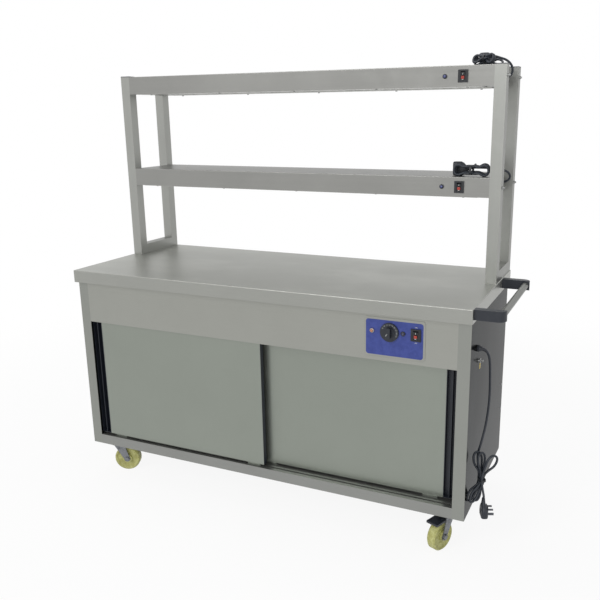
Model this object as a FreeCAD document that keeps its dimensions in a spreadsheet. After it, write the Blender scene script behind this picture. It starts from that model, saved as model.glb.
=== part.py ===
import FreeCAD, Part
import math
import os
import re

import Sketcher
from FreeCAD import Placement, Rotation, Vector

# A heated servery trolley in folded stainless sheet: a cupboard with two sliding
# doors on four casters, and a two-shelf gantry with a heat lamp under each shelf.
# Millimetres, +X to the right, +Y to the back, +Z up. The origin is on the floor,
# at the centre of the trolley's plan with its handle.

doc = FreeCAD.newDocument("servery_trolley")
sheet = doc.addObject("Spreadsheet::Sheet", "Sizes")

SIZES = (
    # worktop
    ("top_length", 1500, "worktop, left edge to right edge"),
    ("top_depth", 600, "worktop, front edge to rear edge"),
    ("top_lip", 45, "height of the worktop's turned-down edge"),
    ("top_gauge", 1.5, "worktop sheet"),
    ("top_hem", 14, "return at the foot of the lip, front and rear"),
    ("top_side_hem", 4, "return at the foot of the lip, sides"),
    ("top_round", 2.5, "outer radius of the worktop's folds"),
    ("rib_width", 60, "stiffening channel under the worktop, across"),
    ("rib_height", 24, "stiffening channel under the worktop, down"),
    # cabinet
    ("body_height", 700, "cabinet underside to worktop surface"),
    ("side_inset", 5, "side panel behind the worktop's side edge"),
    ("front_inset", 18, "cabinet face behind the worktop's front edge"),
    ("gauge", 1.5, "cabinet sheet"),
    ("stile_width", 40, "front face of a side panel"),
    ("rear_flange", 30, "rear fold of a side panel"),
    ("rail_height", 38, "front rail, underside to door track"),
    ("rail_depth", 72, "front rail and the jambs beside it, front to back"),
    ("rail_return", 30, "fold under the front rail"),
    ("groove_width", 8, "door groove in the front rail"),
    ("groove_depth", 8, "depth of a door groove"),
    ("fascia_lift", 502, "cabinet underside to the fascia's lower edge"),
    ("fascia_return", 7, "fold under the fascia"),
    ("floor_side_hem", 108, "floor pan's returns that the casters bolt to"),
    ("floor_hem", 16, "floor pan's front and rear returns"),
    ("shelf_rise", 250, "cupboard shelf above the cupboard floor"),
    ("shelf_edge", 25, "turned-down edge of the cupboard shelf"),
    ("shelf_setback", 26, "cupboard shelf behind the rear door"),
    # doors
    ("door_setback", 10, "front door's face behind the cabinet's face"),
    ("door_depth", 18, "door, front to back"),
    ("door_gap", 14, "front door's back to the rear door's face"),
    ("door_lap", 42, "overlap of the closed doors"),
    ("door_play", 1, "closed door to its jamb"),
    ("door_lift", 8, "door's lower edge above the rail"),
    ("door_engage", 18, "door's upper edge inside the top track"),
    ("pull_width", 40, "full-height recessed pull at a door's outer edge"),
    ("pull_wall", 2, "wall of the pull channel"),
    ("glide_length", 50, "door glide along the groove"),
    ("glide_width", 6, "door glide across the groove"),
    ("seat_gap", 0.3, "running gap between a moving piece and its seat"),
    ("track_drop", 10, "top track above the fascia's lower edge"),
    ("track_height", 28, "top track, mouth to roof"),
    # heater in the cupboard
    ("heater_length", 900, "heater cover, left to right"),
    ("heater_depth", 260, "heater cover, front to back"),
    ("heater_height", 50, "heater cover above the floor"),
    ("heater_wing", 20, "heater cover's fold on the floor"),
    ("heater_rod", 4, "radius of the sheathed heating rod"),
    ("heater_span", 700, "straight length of the heating rod"),
    ("heater_pitch", 52, "distance between the rod's runs"),
    ("heater_lift", 24, "rod's centre above the floor"),
    ("vent_length", 60, "slot in the heater cover"),
    ("vent_width", 8, "slot in the heater cover"),
    # control plate
    ("plate_width", 200, "control plate"),
    ("plate_height", 130, "control plate"),
    ("plate_gauge", 1.5, "control plate"),
    ("plate_corner", 10, "corner radius of the control plate"),
    ("plate_left", 1155, "control plate from the worktop's left edge"),
    ("control_rise", 20, "row of controls above the plate's centre"),
    ("dial_x", 85, "dial from the control plate's left edge"),
    ("heat_lamp_x", 27, "heating lamp from the plate's left edge"),
    ("power_lamp_x", 129, "power lamp from the plate's left edge"),
    ("switch_x", 170, "switch from the plate's left edge"),
    ("dial_radius", 30, "dial's skirt"),
    ("dial_skirt", 5, "thickness of the dial's skirt"),
    ("dial_grip", 17, "radius of the dial's grip"),
    ("dial_height", 20, "dial, back to front"),
    ("spindle_radius", 4, "thermostat spindle"),
    ("spindle_clearance", 0.05, "spindle in the dial's bore"),
    ("thermostat_width", 46, "thermostat behind the fascia"),
    ("thermostat_depth", 34, "thermostat, front to back"),
    ("lamp_radius", 7, "pilot lamp's bezel"),
    ("lamp_stem", 5, "pilot lamp's body behind the panel"),
    ("switch_width", 32, "rocker switch frame"),
    ("switch_height", 39, "rocker switch frame"),
    ("switch_face", 4, "rocker switch frame, front to back"),
    ("switch_cutout_width", 26, "panel cut-out for a switch"),
    ("switch_cutout_height", 34, "panel cut-out for a switch"),
    ("switch_depth", 22, "rocker switch behind the panel"),
    ("rocker_width", 15, "rocker"),
    ("rocker_height", 25, "rocker"),
    ("rocker_front", 9, "rocker's face ahead of its pin"),
    ("rocker_dish", 2, "hollow of the rocker's face"),
    ("rocker_pin", 1.5, "radius of the rocker's pin"),
    ("rocker_pin_depth", 4, "rocker's pin behind the panel's face"),
    ("rocker_side_play", 0.5, "rocker to its frame, each side"),
    ("rocker_end_play", 1.5, "rocker to its frame, each end"),
    ("rocker_tilt", 9, "lean of the rocker in either position, degrees"),
    # gantry
    ("gantry_depth", 247, "gantry, front to back"),
    ("gantry_height", 700, "post above the worktop"),
    ("post_size", 38, "square gantry post"),
    ("post_wall", 1.5, "post's wall"),
    ("post_inset", 3, "post inside the worktop's side and rear edges"),
    ("cap_height", 3, "plastic cap on a post"),
    ("shelf_depth", 65, "gantry shelf, top to underside"),
    ("lower_shelf_rise", 350, "lower shelf's top above the worktop"),
    ("shelf_gauge", 1.2, "gantry shelf sheet"),
    ("shelf_hem", 28, "return under a gantry shelf"),
    ("shelf_round", 2, "outer radius of a shelf's folds"),
    ("lamp_plate_length", 1340, "reflector plate under a shelf"),
    ("lamp_plate_gauge", 1, "reflector plate"),
    ("lamp_mouth", 81, "mouth of the reflector"),
    ("lamp_roof", 47, "roof of the reflector"),
    ("lamp_rise", 35, "height of the reflector"),
    ("lamp_miter", 0.63, "share of the sheet at the reflector's sloping folds"),
    ("lamp_rod", 6, "radius of a heat lamp's tube"),
    ("lamp_span", 1240, "length of a heat lamp between its holders"),
    ("holder_size", 20, "ceramic holder of a heat lamp"),
    ("gantry_switch_x", 99, "gantry switch from the shelf's right end"),
    ("gantry_lamp_x", 158, "gantry pilot lamp from the shelf's right end"),
    ("screw_head", 4, "radius of a reflector plate's screw head"),
    ("screw_drop", 3, "height of a screw head"),
    ("screw_shank", 1.6, "radius of a screw's shank"),
    ("screw_length", 7, "screw's shank"),
    ("screw_inset", 19, "screw row inside the shelf's edge"),
    ("screw_pitch", 310, "distance between screws in a row"),
    ("nut_radius", 5, "dome nut on a gantry post"),
    ("nut_height", 8, "dome nut standing off the post"),
    ("bolt_radius", 3, "bolt that holds a gantry shelf"),
    ("bolt_end", 6, "bolt standing inside the shelf"),
    ("hole_play", 0.3, "fixed piece in its hole, all round"),
    # handle
    ("handle_reach", 92, "handle beyond the worktop's edge"),
    ("handle_front", 12, "front bracket behind the worktop's front edge"),
    ("handle_length", 454, "outside of one bracket to outside of the other"),
    ("handle_tube", 11, "radius of the handle tube"),
    ("bracket_width", 26, "handle bracket, front to back"),
    ("bracket_height", 32, "handle bracket, top to bottom"),
    ("bracket_drop", 1, "bracket's top below the worktop surface"),
    ("bracket_corner", 24, "round of the bracket's outer corner"),
    ("tube_seat", 12, "tube's end inside the bracket"),
    ("tube_inset", 14, "tube's centre inside the bracket's end"),
    # casters
    ("caster_height", 130, "floor to the cabinet's underside"),
    ("wheel_radius", 50, "caster wheel"),
    ("wheel_width", 32, "caster wheel's tread"),
    ("wheel_edge", 5, "rounding of the tread"),
    ("hub_radius", 18, "caster wheel's hub"),
    ("axle_radius", 6, "caster axle"),
    ("running_clearance", 0.05, "bore round a shaft"),
    ("caster_trail", 35, "axle behind the swivel"),
    ("caster_plate_length", 95, "caster plate along X"),
    ("caster_plate_width", 76, "caster plate along Y"),
    ("caster_plate_gauge", 4, "caster plate"),
    ("caster_side", 70, "swivel inside the side panel"),
    ("caster_end", 57, "swivel behind the cabinet's face"),
    ("race_radius", 28, "swivel bearing"),
    ("race_height", 8, "fixed half of the swivel bearing"),
    ("crown_height", 6, "turning half of the swivel bearing"),
    ("fork_gauge", 3, "fork steel"),
    ("fork_inside", 38, "distance between the fork's legs"),
    ("kingpin_radius", 6, "pin of the swivel bearing"),
    ("heading_fl", 24, "way the front left caster trails, degrees"),
    ("heading_fr", 248, "way the front right caster trails, degrees"),
    ("heading_rl", 38, "way the rear left caster trails, degrees"),
    ("heading_rr", 284, "way the rear right caster trails, degrees"),
    ("pedal_reach", 78, "brake pedal's tip from the swivel"),
    ("pedal_width", 36, "brake pedal across"),
    ("pedal_pivot", 26, "brake pedal's pin from the swivel"),
    ("pedal_level", 106, "brake pedal's pin above the floor"),
    ("pedal_pin", 3, "radius of the brake pedal's pin"),
    # cords
    ("cord_diameter", 7, "mains cord"),
    ("cord_gap", 0.8, "clear space between the turns of a hank"),
    ("gland_radius", 11, "cord gland's nut"),
    ("main_gland_length", 16, "cabinet's gland standing off the panel"),
    ("shelf_gland_length", 14, "shelf's gland standing off its end"),
    ("cord_seat", 8, "cord's end inside its gland"),
    ("main_gland_y", 110, "cabinet's gland behind the worktop's front edge"),
    ("main_gland_z", 680, "cabinet's gland above the floor"),
    ("upper_gland_drop", 35, "upper shelf's gland below its top"),
    ("lower_gland_drop", 24, "lower shelf's gland below its top"),
    ("shelf_gland_y", 125, "shelf gland behind the shelf's front"),
    ("earth_y", 134, "earth stud behind the worktop's front edge"),
    ("earth_z", 632, "earth stud above the floor"),
    ("earth_radius", 4, "earth stud"),
    ("plug_length", 50, "plug's body, from the cord's end"),
    ("plug_width", 46, "plug's body across its line pins"),
    ("plug_depth", 28, "plug's body behind its pins"),
    ("pin_spread", 22.2, "distance between the pins of a plug"),
)
sizes = [alias for alias, number, meaning in SIZES]
for row, (alias, number, meaning) in enumerate(SIZES, start=1):
    sheet.set(f"A{row}", meaning)
    sheet.set(f"B{row}", str(number))
    sheet.setAlias(f"B{row}", alias)
doc.recompute()

# Places that follow from the sizes.
PLACES = (
    ("left", "-(top_length + handle_reach) / 2"),
    ("right", "left + top_length"),
    ("front", "-top_depth / 2"),
    ("rear", "front + top_depth"),
    ("top", "caster_height + body_height"),
    ("body_left", "left + side_inset"),
    ("body_right", "right - side_inset"),
    ("body_front", "front + front_inset"),
    ("body_rear", "rear - front_inset"),
    ("jamb_left", "body_left + stile_width"),
    ("jamb_right", "body_right - stile_width"),
    ("panel_height", "body_height - top_gauge"),
    ("fascia_base", "caster_height + fascia_lift"),
    ("fascia_back", "body_front + gauge"),
    ("track_base", "fascia_base + track_drop"),
    ("door_base", "caster_height + rail_height + door_lift"),
    ("door_height", "track_base + door_engage - door_base"),
    ("door_width", "(jamb_right - jamb_left + door_lap) / 2 - door_play"),
    ("front_door", "body_front + door_setback"),
    ("rear_door", "front_door + door_depth + door_gap"),
    ("floor_top", "caster_height + rail_height"),
    ("cupboard_shelf", "floor_top + shelf_rise"),
    ("plate_x", "left + plate_left"),
    ("plate_z", "(fascia_base + top - top_lip) / 2"),
    ("plate_face", "body_front - plate_gauge"),
    ("control_z", "plate_z + control_rise"),
    ("gantry_front", "rear - post_inset - gantry_depth"),
    ("post_left", "left + post_inset"),
    ("post_right", "right - post_inset - post_size"),
    ("post_back", "rear - post_inset - post_size"),
    ("shelf_left", "post_left + post_size"),
    ("shelf_length", "post_right - shelf_left"),
    ("upper_top", "top + gantry_height"),
    ("lower_top", "top + lower_shelf_rise"),
    ("gantry_middle", "gantry_front + gantry_depth / 2"),
    ("crown_top", "caster_height - caster_plate_gauge - race_height - seat_gap"),
    ("crown_base", "crown_top - crown_height"),
)
places = [name for name, text in PLACES]


def bound(text):
    """Write the names in an expression as references to their cells."""
    def reference(match):
        word = match.group(0)
        if word in places:
            return "Places." + word
        if word in sizes:
            return "Sizes." + word
        return word
    return re.sub(r"[a-z_]+", reference, text)


ways = doc.addObject("App::VarSet", "Places")
for name, text in PLACES:
    ways.addProperty("App::PropertyFloat", name)
    ways.setExpression(name, bound(text))
doc.recompute()


def value(text):
    """The number that an expression has with the present sizes."""
    return float(ways.evalExpression(bound(text)))


# ---------------------------------------------------------------- helpers

def seat(item, at, turn=None):
    """Put an object at a place given as three expressions."""
    if turn is not None:
        item.Placement = Placement(Vector(), turn)
    for axis, text in zip("xyz", at):
        item.setExpression(f"Placement.Base.{axis}", bound(text))
    return item


def block(name, at, size):
    item = doc.addObject("Part::Box", name)
    for dimension, text in zip(("Length", "Width", "Height"), size):
        item.setExpression(dimension, bound(text))
    return seat(item, at)


TURN_TO_X = Rotation(Vector(0, 1, 0), 90)
TURN_TO_Y = Rotation(Vector(1, 0, 0), -90)


def rod(name, at, radius, length, turn=None):
    item = doc.addObject("Part::Cylinder", name)
    item.setExpression("Radius", bound(radius))
    item.setExpression("Height", bound(length))
    return seat(item, at, turn)


def prism(name, at, radius, length, turn=None):
    """A six-sided rod, as a nut, a bolt's head or a small screw."""
    item = doc.addObject("Part::Prism", name)
    item.Polygon = 6
    item.setExpression("Circumradius", bound(radius))
    item.setExpression("Height", bound(length))
    return seat(item, at, turn)


def cut(name, base, *tools):
    item = doc.addObject("Part::Cut", name)
    item.Base = base
    item.Tool = tools[0] if len(tools) == 1 else group(name + "_tools", *tools)
    return item


def fuse(name, *pieces):
    item = doc.addObject("Part::MultiFuse", name)
    item.Shapes = list(pieces)
    item.Refine = True
    return item


def group(name, *pieces):
    item = doc.addObject("Part::Compound", name)
    item.Links = list(pieces)
    return item


def rounded(name, base, radius, chosen):
    """Round those edges of an object that the test picks."""
    doc.recompute()
    item = doc.addObject("Part::Fillet", name)
    item.Base = base
    size = value(radius)
    item.Edges = [(number, size, size)
                  for number, edge in enumerate(base.Shape.Edges, start=1) if chosen(edge)]
    return item


def runs_along(edge, axis):
    """True for a straight edge along X, Y or Z, given as 0, 1 or 2."""
    first, last = edge.Vertexes[0].Point, edge.Vertexes[-1].Point
    span = [abs(last[i] - first[i]) for i in range(3)]
    return isinstance(edge.Curve, Part.Line) and span[axis] > 0.99 * sum(span)


def plane(owner, role):
    return next(item for item in owner.Origin.OriginFeatures if item.Role == role)


def outline(owner, name, role, points=(), rings=(), lift="0"):
    """A sketch with one closed outline and circles, all tied to the sizes."""
    drawing = owner.newObject("Sketcher::SketchObject", name)
    drawing.AttachmentSupport = [(plane(owner, role), "")]
    drawing.MapMode = "FlatFace"
    if lift != "0":
        drawing.setExpression("AttachmentOffset.Base.z", bound(lift))
    count = len(points)
    where = [Vector(value(u), value(v), 0) for u, v in points]
    for i in range(count):
        drawing.addGeometry(Part.LineSegment(where[i], where[(i + 1) % count]), False)
    for i in range(count):
        drawing.addConstraint(Sketcher.Constraint("Coincident", i, 2, (i + 1) % count, 1))
    for i, (u, v) in enumerate(points):
        tie_point(drawing, i, 1, u, v)
    for u, v, radius in rings:
        size = value(radius)
        at = drawing.addGeometry(Part.Circle(Vector(value(u), value(v), 0), Vector(0, 0, 1), size), False)
        tie_point(drawing, at, 3, u, v)
        number = drawing.addConstraint(Sketcher.Constraint("Radius", at, size))
        drawing.setExpression(f"Constraints[{number}]", bound(radius))
    return drawing


def tie_point(drawing, item, end, u, v):
    """Hold a point of a sketch at two expressions, or on an axis where one is 0."""
    for kind, text, axis in (("DistanceX", u, -2), ("DistanceY", v, -1)):
        if text == "0":
            drawing.addConstraint(Sketcher.Constraint("PointOnObject", item, end, axis))
        else:
            number = drawing.addConstraint(
                Sketcher.Constraint(kind, -1, 1, item, end, value(text)))
            drawing.setExpression(f"Constraints[{number}]", bound(text))


def pad(owner, name, drawing, length, back=False, middle=False):
    item = owner.newObject("PartDesign::Pad", name)
    item.Profile = drawing
    item.setExpression("Length", bound(length))
    item.Reversed = back
    item.SideType = "Symmetric" if middle else "One side"
    return item


def pocket(owner, name, drawing, length, back=False, middle=False):
    item = owner.newObject("PartDesign::Pocket", name)
    item.Profile = drawing
    item.setExpression("Length", bound(length))
    item.Reversed = back
    item.SideType = "Symmetric" if middle else "One side"
    return item


def spin(owner, name, drawing, axis):
    item = owner.newObject("PartDesign::Revolution", name)
    item.Profile = drawing
    item.ReferenceAxis = (drawing, [axis])
    item.Angle = 360
    return item


def folded(path, thickness):
    """Outline of sheet folded square along a path, its thickness to the left of it."""
    numbers = [(value(u), value(v)) for u, v in path]
    sides = []
    for (u0, v0), (u1, v1) in zip(numbers, numbers[1:]):
        length = math.hypot(u1 - u0, v1 - v0)
        sides.append((round((v0 - v1) / length), round((u1 - u0) / length)))
    other = []
    for i, texts in enumerate(path):
        near = sides[max(i - 1, 0):i + 1]
        shift = [sum(side[axis] for side in near) for axis in (0, 1)]
        other.append(tuple(text if not step else f"{text} + {step} * {thickness}"
                           for text, step in zip(texts, shift)))
    return list(path) + other[::-1]


def section(name, role, points, length, at, back=False):
    """A body of one constant section."""
    owner = doc.addObject("PartDesign::Body", name)
    pad(owner, name + "_pad", outline(owner, name + "_section", role, points), length, back)
    return seat(owner, at)


def tray(name, at, size, thickness, hem, side_hem=None):
    """A sheet pan, open below, with returns round its mouth."""
    length, width, height = size
    side = side_hem or hem
    x, y, z = at
    outer = block(name + "_outside", at, size)
    inner = block(name + "_inside", (f"{x} + {thickness}", f"{y} + {thickness}", f"{z} + {thickness}"),
                  (f"{length} - 2 * {thickness}", f"{width} - 2 * {thickness}",
                   f"{height} - 2 * {thickness}"))
    mouth = block(name + "_mouth", (f"{x} + {side}", f"{y} + {hem}", f"{z} - {thickness}"),
                  (f"{length} - 2 * {side}", f"{width} - 2 * {hem}", f"3 * {thickness}"))
    return outer, inner, mouth


parts = {}


def keep(node, item):
    """Give a finished sub-part its label."""
    item.Label = node
    parts[node] = item
    return item


# ---------------------------------------------------------------- worktop

def on_face(edge, axis, place):
    return abs(edge.CenterOfMass[axis] - value(place)) < 0.01


outer, inner, mouth = tray("top", ("left", "front", "top - top_lip"),
                           ("top_length", "top_depth", "top_lip"), "top_gauge", "top_hem",
                           "top_side_hem")
top_shell = cut("top_shell", outer, inner, mouth)


def top_fold(edge):
    corner = runs_along(edge, 2) and (on_face(edge, 0, "left") or on_face(edge, 0, "right"))
    return on_face(edge, 2, "top") or corner


keep("worktop", rounded("top_rounded", top_shell, "top_round", top_fold))

# Two hat channels stiffen the worktop and carry its load to the front and back.
rib_path = [("0", "0"), ("rib_width / 4", "0"), ("rib_width / 4", "-(rib_height)"),
            ("rib_width * 3 / 4", "-(rib_height)"), ("rib_width * 3 / 4", "0"), ("rib_width", "0")]
ribs = []
for number in (1, 2):
    ribs.append(section(
        f"rib_{number}", "XZ_Plane", folded(rib_path, "-1 * gauge"),
        "body_rear - fascia_back - 2 * gauge",
        (f"body_left + (body_right - body_left) * {number} / 3 - rib_width / 2",
         "fascia_back", "top - top_gauge"), back=True))
keep("worktop_ribs", group("rib_pair", *ribs))

# ---------------------------------------------------------------- cabinet

panel_path = [("stile_width", "rail_depth"), ("stile_width", "0"), ("0", "0"),
              ("0", "body_rear - body_front"), ("rear_flange", "body_rear - body_front")]
panel_section = folded(panel_path, "-1 * gauge")
keep("side_panel_left", section("left_panel", "XY_Plane", panel_section, "panel_height",
                                ("body_left", "body_front", "caster_height")))
mirrored_section = [(f"-1 * ({u})" if u != "0" else u, v) for u, v in panel_section]
right_panel = section("right_panel", "XY_Plane", mirrored_section, "panel_height",
                      ("body_right", "body_front", "caster_height"))
gland_hole = rod("main_gland_hole",
                 ("body_right - 2 * gauge", "front + main_gland_y", "main_gland_z"),
                 "gland_radius - 3", "3 * gauge", TURN_TO_X)
earth_hole = rod("earth_hole", ("body_right - 2 * gauge", "front + earth_y", "earth_z"),
                 "earth_radius", "3 * gauge", TURN_TO_X)
keep("side_panel_right", cut("right_panel_bored", right_panel, gland_hole, earth_hole))

keep("back_panel", block("back_sheet",
                         ("body_left + gauge", "body_rear - 2 * gauge", "caster_height"),
                         ("body_right - body_left - 2 * gauge", "gauge", "panel_height")))

# The fascia is one folded strip, cut out for the thermostat and the switch behind it.
fascia_path = [("fascia_return", "0"), ("0", "0"), ("0", "top - top_gauge - fascia_base")]
fascia_strip = section("fascia_strip", "YZ_Plane", folded(fascia_path, "-1 * gauge"),
                       "jamb_right - jamb_left", ("jamb_left", "body_front", "fascia_base"))


def lamp_hole(name, x, y, z):
    return rod(name, (x, f"{y} - gauge", z), "lamp_stem + hole_play", "4 * gauge", TURN_TO_Y)


def switch_hole(name, x, y, z):
    return block(name, (f"{x} - switch_cutout_width / 2", f"{y} - gauge",
                        f"{z} - switch_cutout_height / 2"),
                 ("switch_cutout_width", "4 * gauge", "switch_cutout_height"))


def control_holes(name):
    face = "plate_face"
    return (rod(name + "_spindle_hole", ("plate_x + dial_x", f"{face} - gauge", "control_z"),
                "spindle_radius + 2", "4 * gauge", TURN_TO_Y),
            lamp_hole(name + "_heat_hole", "plate_x + heat_lamp_x", face, "control_z"),
            lamp_hole(name + "_power_hole", "plate_x + power_lamp_x", face, "control_z"),
            switch_hole(name + "_switch_hole", "plate_x + switch_x", face, "control_z"))


keep("fascia", cut("fascia_cut", fascia_strip, *control_holes("fascia")))

# Front rail: one strip folded into two grooves for the door glides.
groove_front = "(front_door + door_depth / 2 - groove_width / 2 - body_front)"
groove_rear = "(rear_door + door_depth / 2 - groove_width / 2 - body_front)"
rail_path = [("rail_return", "0"), ("0", "0"), ("0", "rail_height")]
for groove in (groove_front, groove_rear):
    rail_path += [(groove, "rail_height"), (groove, "rail_height - groove_depth"),
                  (f"{groove} + groove_width", "rail_height - groove_depth"),
                  (f"{groove} + groove_width", "rail_height")]
rail_path += [("rail_depth", "rail_height"), ("rail_depth", "0")]
keep("door_rail", section("rail_strip", "YZ_Plane", folded(rail_path, "-1 * gauge"),
                          "jamb_right - jamb_left", ("jamb_left", "body_front", "caster_height")))

# Top track: an inverted double channel that guides the doors' upper edges.
track_near = "(front_door - 3 - gauge - body_front)"
track_far = "(rear_door + door_depth + 3 + gauge - body_front)"
track_path = [(track_near, "0"), (track_near, "track_height"), (track_far, "track_height"),
              (track_far, "0")]
track = section("track_channel", "YZ_Plane", folded(track_path, "-1 * gauge"),
                "jamb_right - jamb_left", ("jamb_left", "body_front", "track_base"))
divider = block("track_divider",
                ("jamb_left", "rear_door - door_gap / 2 - gauge / 2", "track_base"),
                ("jamb_right - jamb_left", "gauge", "track_height - gauge"))
keep("top_track", fuse("track_fused", track, divider))

# Floor pan: its wide side returns carry the casters.
outer, inner, mouth = tray(
    "floor", ("body_left + gauge", "body_front + rail_depth", "caster_height"),
    ("body_right - body_left - 2 * gauge", "body_rear - 2 * gauge - body_front - rail_depth",
     "rail_height"), "gauge", "floor_hem", "floor_side_hem")
keep("cabinet_floor", cut("floor_pan", outer, inner, mouth))

# Cupboard shelf, held between the side panels by its turned-down ends.
shelf_front = "(rear_door + door_depth + shelf_setback)"
outer, inner, mouth = tray(
    "inner_shelf", ("body_left + gauge", shelf_front, "cupboard_shelf - shelf_edge"),
    ("body_right - body_left - 2 * gauge", f"body_rear - 2 * gauge - {shelf_front}",
     "shelf_edge"), "gauge", "floor_hem")
keep("cupboard_shelf", cut("inner_shelf_pan", outer, inner, mouth))

# Heating rod on the cupboard's floor: a hairpin on feet, under a slotted cover.
heater_middle = "(front + top_depth / 2 + 20)"
run_left = "(-1 * heater_span / 2)"
runs = []
for number, side in ((1, "-1"), (2, "1")):
    runs.append(rod(f"heater_run_{number}",
                    (run_left, f"{heater_middle} + {side} * heater_pitch / 2",
                     "floor_top + heater_lift"), "heater_rod", "heater_span", TURN_TO_X))
bend = doc.addObject("Part::Torus", "heater_bend")
bend.setExpression("Radius1", bound("heater_pitch / 2"))
bend.setExpression("Radius2", bound("heater_rod"))
bend.Angle3 = 180
seat(bend, ("heater_span / 2", heater_middle, "floor_top + heater_lift"),
     Rotation(Vector(0, 0, 1), -90))
terminal = block("heater_terminal",
                 (f"{run_left} - 24", f"{heater_middle} - heater_pitch / 2 - 12", "floor_top"),
                 ("24", "heater_pitch + 24", "heater_lift + 12"))
feet = [block(f"heater_foot_{number}",
              (f"heater_span * {place} / 10", f"{heater_middle} - heater_pitch / 2 - 10",
               "floor_top"), ("3", "heater_pitch + 20", "heater_lift"))
        for number, place in ((1, -3), (2, 3))]
keep("heating_rod", fuse("heater_fused", terminal, *runs, bend, *feet))

cover_left = "(-1 * heater_length / 2)"
cover_front = f"({heater_middle} - heater_depth / 2)"
cover_path = [("0 - heater_wing", "0"), ("0", "0"), ("0", "heater_height"),
              ("heater_depth", "heater_height"), ("heater_depth", "0"),
              ("heater_depth + heater_wing", "0")]
cover_points = folded(cover_path, "gauge")
cover = section("cover_strip", "YZ_Plane", cover_points, "heater_length",
                (cover_left, cover_front, "floor_top"))
vents = [block(f"vent_{row}_{column}",
               (f"{cover_left} + heater_length * ({column} + 0.5) / 7 - vent_length / 2",
                f"{cover_front} + heater_depth * {row} / 4 - vent_width / 2",
                "floor_top + heater_height - 3 * gauge"),
               ("vent_length", "vent_width", "6 * gauge"))
         for row in (1, 2, 3) for column in range(7)]
keep("heater_cover", cut("cover_slotted", cover, *vents))

# ---------------------------------------------------------------- controls

plate_sheet = block("plate_sheet", ("plate_x", "plate_face", "plate_z - plate_height / 2"),
                    ("plate_width", "plate_gauge", "plate_height"))
plate_rounded = rounded("plate_rounded", plate_sheet, "plate_corner",
                        lambda edge: runs_along(edge, 1))
keep("control_plate", cut("plate_cut", plate_rounded, *control_holes("plate")))

thermostat_body = block("thermostat_body",
                        ("plate_x + dial_x - thermostat_width / 2", "fascia_back",
                         "control_z - thermostat_width / 2"),
                        ("thermostat_width", "thermostat_depth", "thermostat_width"))
spindle = rod("spindle", ("plate_x + dial_x", "plate_face - dial_height + 6", "control_z"),
              "spindle_radius", "fascia_back + 2 - plate_face + dial_height - 6", TURN_TO_Y)
keep("thermostat", fuse("thermostat_fused", thermostat_body, spindle))

# Dial: a skirt for the numbers and a bar grip, bored for the spindle.
dial = doc.addObject("PartDesign::Body", "dial_body")
pad(dial, "dial_skirt_pad", outline(dial, "dial_skirt_ring", "XZ_Plane",
                                    rings=[("0", "0", "dial_radius")]), "dial_skirt")
pad(dial, "dial_grip_pad", outline(dial, "dial_grip_ring", "XZ_Plane",
                                   rings=[("0", "0", "dial_grip")]), "dial_height")
for name, side in (("dial_left_flat", "-1"), ("dial_right_flat", "1")):
    near, far = f"{side} * dial_grip * 0.42", f"{side} * dial_grip * 1.2"
    flat = outline(dial, name + "_outline", "XZ_Plane",
                   [(near, "-1.2 * dial_grip"), (far, "-1.2 * dial_grip"),
                    (far, "1.2 * dial_grip"), (near, "1.2 * dial_grip")],
                   lift="dial_skirt + 2")
    pocket(dial, name, flat, "dial_height", back=True)
pocket(dial, "dial_bore", outline(dial, "dial_bore_ring", "XZ_Plane",
                                  rings=[("0", "0", "spindle_radius + spindle_clearance")]),
       "dial_height - 5", back=True)
seat(dial, ("plate_x + dial_x", "plate_face - seat_gap", "control_z"))
keep("dial", dial)


def pilot_lamp(name, x, face, z):
    """A domed lens on its bezel, with the stem behind the panel."""
    stem = rod(name + "_stem", (x, face, z), "lamp_stem", "18", TURN_TO_Y)
    bezel = rod(name + "_bezel", (x, f"{face} - 2", z), "lamp_radius", "2", TURN_TO_Y)
    lens = rod(name + "_lens", (x, f"{face} - 5", z), "lamp_radius - 2", "3", TURN_TO_Y)
    return fuse(name, stem, bezel, lens)


def switch_frame(name, x, face, z):
    """A switch body with its flange, a well for the rocker and the rocker's pin."""
    flange = block(name + "_flange", (f"{x} - switch_width / 2", f"{face} - switch_face",
                                      f"{z} - switch_height / 2"),
                   ("switch_width", "switch_face", "switch_height"))
    body = block(name + "_body",
                 (f"{x} - switch_cutout_width / 2 + hole_play", face,
                  f"{z} - switch_cutout_height / 2 + hole_play"),
                 ("switch_cutout_width - 2 * hole_play", "switch_depth",
                  "switch_cutout_height - 2 * hole_play"))
    well = block(name + "_well",
                 (f"{x} - rocker_width / 2 - rocker_side_play", f"{face} - 2 * switch_face",
                  f"{z} - rocker_height / 2 - rocker_end_play"),
                 ("rocker_width + 2 * rocker_side_play", "switch_depth",
                  "rocker_height + 2 * rocker_end_play"))
    pin = rod(name + "_pin", (f"{x} - rocker_width / 2 - 1.5", f"{face} + rocker_pin_depth", z),
              "rocker_pin", "rocker_width + 3", TURN_TO_X)
    return fuse(name, cut(name + "_hollow", fuse(name + "_solid", flange, body), well), pin)


def rocker(name, x, face, z):
    """A rocker with a shallow dished face, bored for its pin, leaning to OFF."""
    owner = doc.addObject("PartDesign::Body", name + "_body")
    profile = [("-1 * rocker_front + rocker_dish", "0"),
               ("-1 * rocker_front", "rocker_height / 2"),
               ("-3", "rocker_height / 2"), ("4", "rocker_height / 5"),
               ("4", "-1 * rocker_height / 5"), ("-3", "-1 * rocker_height / 2"),
               ("-1 * rocker_front", "-1 * rocker_height / 2")]
    pad(owner, name + "_pad", outline(owner, name + "_profile", "YZ_Plane", profile),
        "rocker_width", middle=True)
    pocket(owner, name + "_bore",
           outline(owner, name + "_bore_ring", "YZ_Plane",
                   rings=[("0", "0", "rocker_pin + running_clearance")]),
           "2 * rocker_width", middle=True)
    return seat(owner, (x, f"{face} + rocker_pin_depth", z),
                Rotation(Vector(1, 0, 0), value("rocker_tilt")))


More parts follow.
